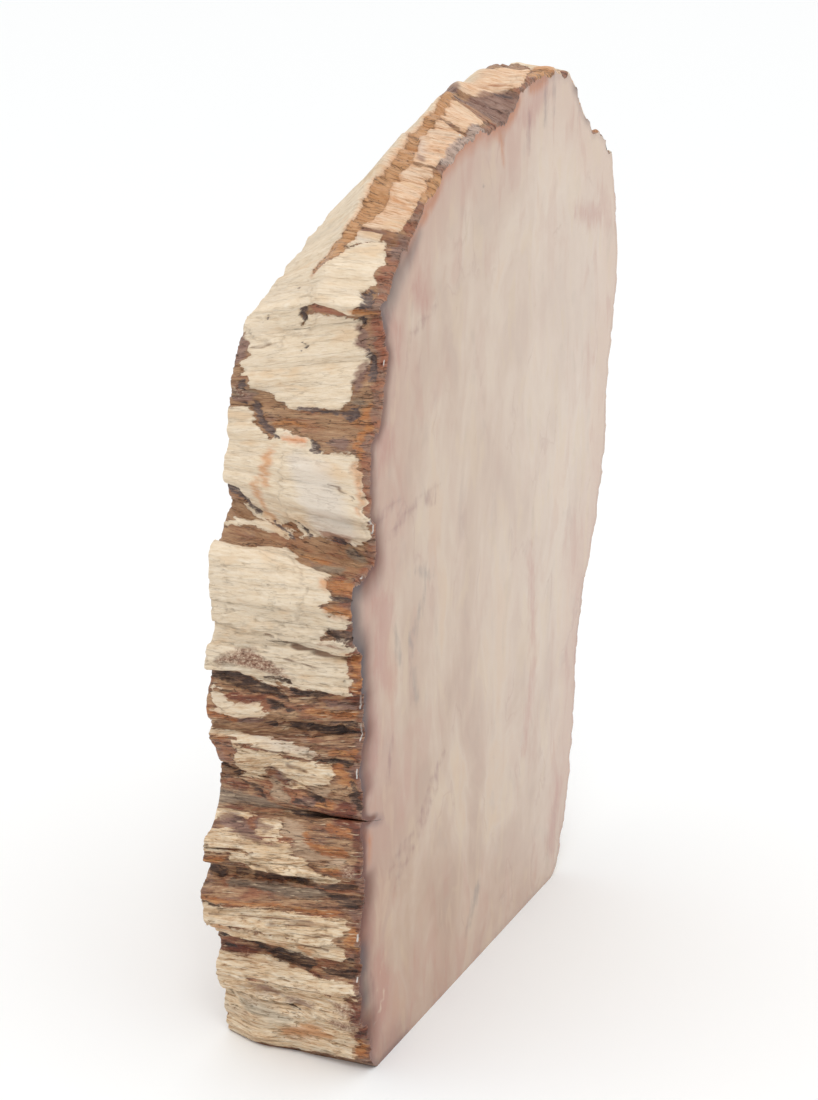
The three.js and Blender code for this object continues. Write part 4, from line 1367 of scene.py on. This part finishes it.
def white_floor():
    """Matt white paper under and behind the stone."""
    material, tree = new_material("matt_white_paper")
    finish_material(tree, "#F8F9F9", 0.9)
    mesh = bpy.data.meshes.new("floor")
    far = FLOOR_REACH
    mesh.from_pydata([(-far, -far, 0), (far, -far, 0), (far, far, 0), (-far, far, 0)], [], [(0, 1, 2, 3)])
    mesh.materials.append(material)
    floor = bpy.data.objects.new("floor", mesh)
    bpy.context.scene.collection.objects.link(floor)


def soft_light():
    """A white tent, brighter from above, and a lamp near the camera's left for glints."""
    world = bpy.data.worlds.new("white_tent")
    bpy.context.scene.world = world
    world.use_nodes = True
    background = world.node_tree.nodes["Background"]
    background.inputs["Color"].default_value = colour("#FFFFFF")
    background.inputs["Strength"].default_value = TENT_STRENGTH
    for name, place, size, energy in LAMPS:
        lamp = bpy.data.lights.new(name, "AREA")
        lamp.shape = "DISK"
        lamp.size = size
        lamp.energy = energy
        lamp_object = bpy.data.objects.new(name, lamp)
        lamp_object.location = place
        way = LAMPS_AIM_AT - lamp_object.location
        lamp_object.rotation_euler = way.to_track_quat("-Z", "Y").to_euler()
        bpy.context.scene.collection.objects.link(lamp_object)


# The camera stands before the left flank, 314 mm above the floor, and looks along the polished face.
NEAR_CORNER = Vector((-0.0872, -0.023, 0))
CAMERA_FROM_CORNER = Vector((-0.5528, -0.2425, 0.3143))
CAMERA_LOOKS = Vector((0.8863, 0.3738, -0.2734))
PICTURE_HEIGHT = 1100
FOCAL_PIXELS = 2509
SENSOR = 36


def photo_camera():
    data = bpy.data.cameras.new("camera")
    data.sensor_width = SENSOR
    data.lens = FOCAL_PIXELS / PICTURE_HEIGHT * SENSOR
    camera = bpy.data.objects.new("camera", data)
    camera.location = NEAR_CORNER + CAMERA_FROM_CORNER
    camera.rotation_euler = CAMERA_LOOKS.to_track_quat("-Z", "Y").to_euler()
    bpy.context.scene.collection.objects.link(camera)
    bpy.context.scene.camera = camera


white_floor()
soft_light()
photo_camera()
bpy.context.scene.view_settings.view_transform = "Standard"
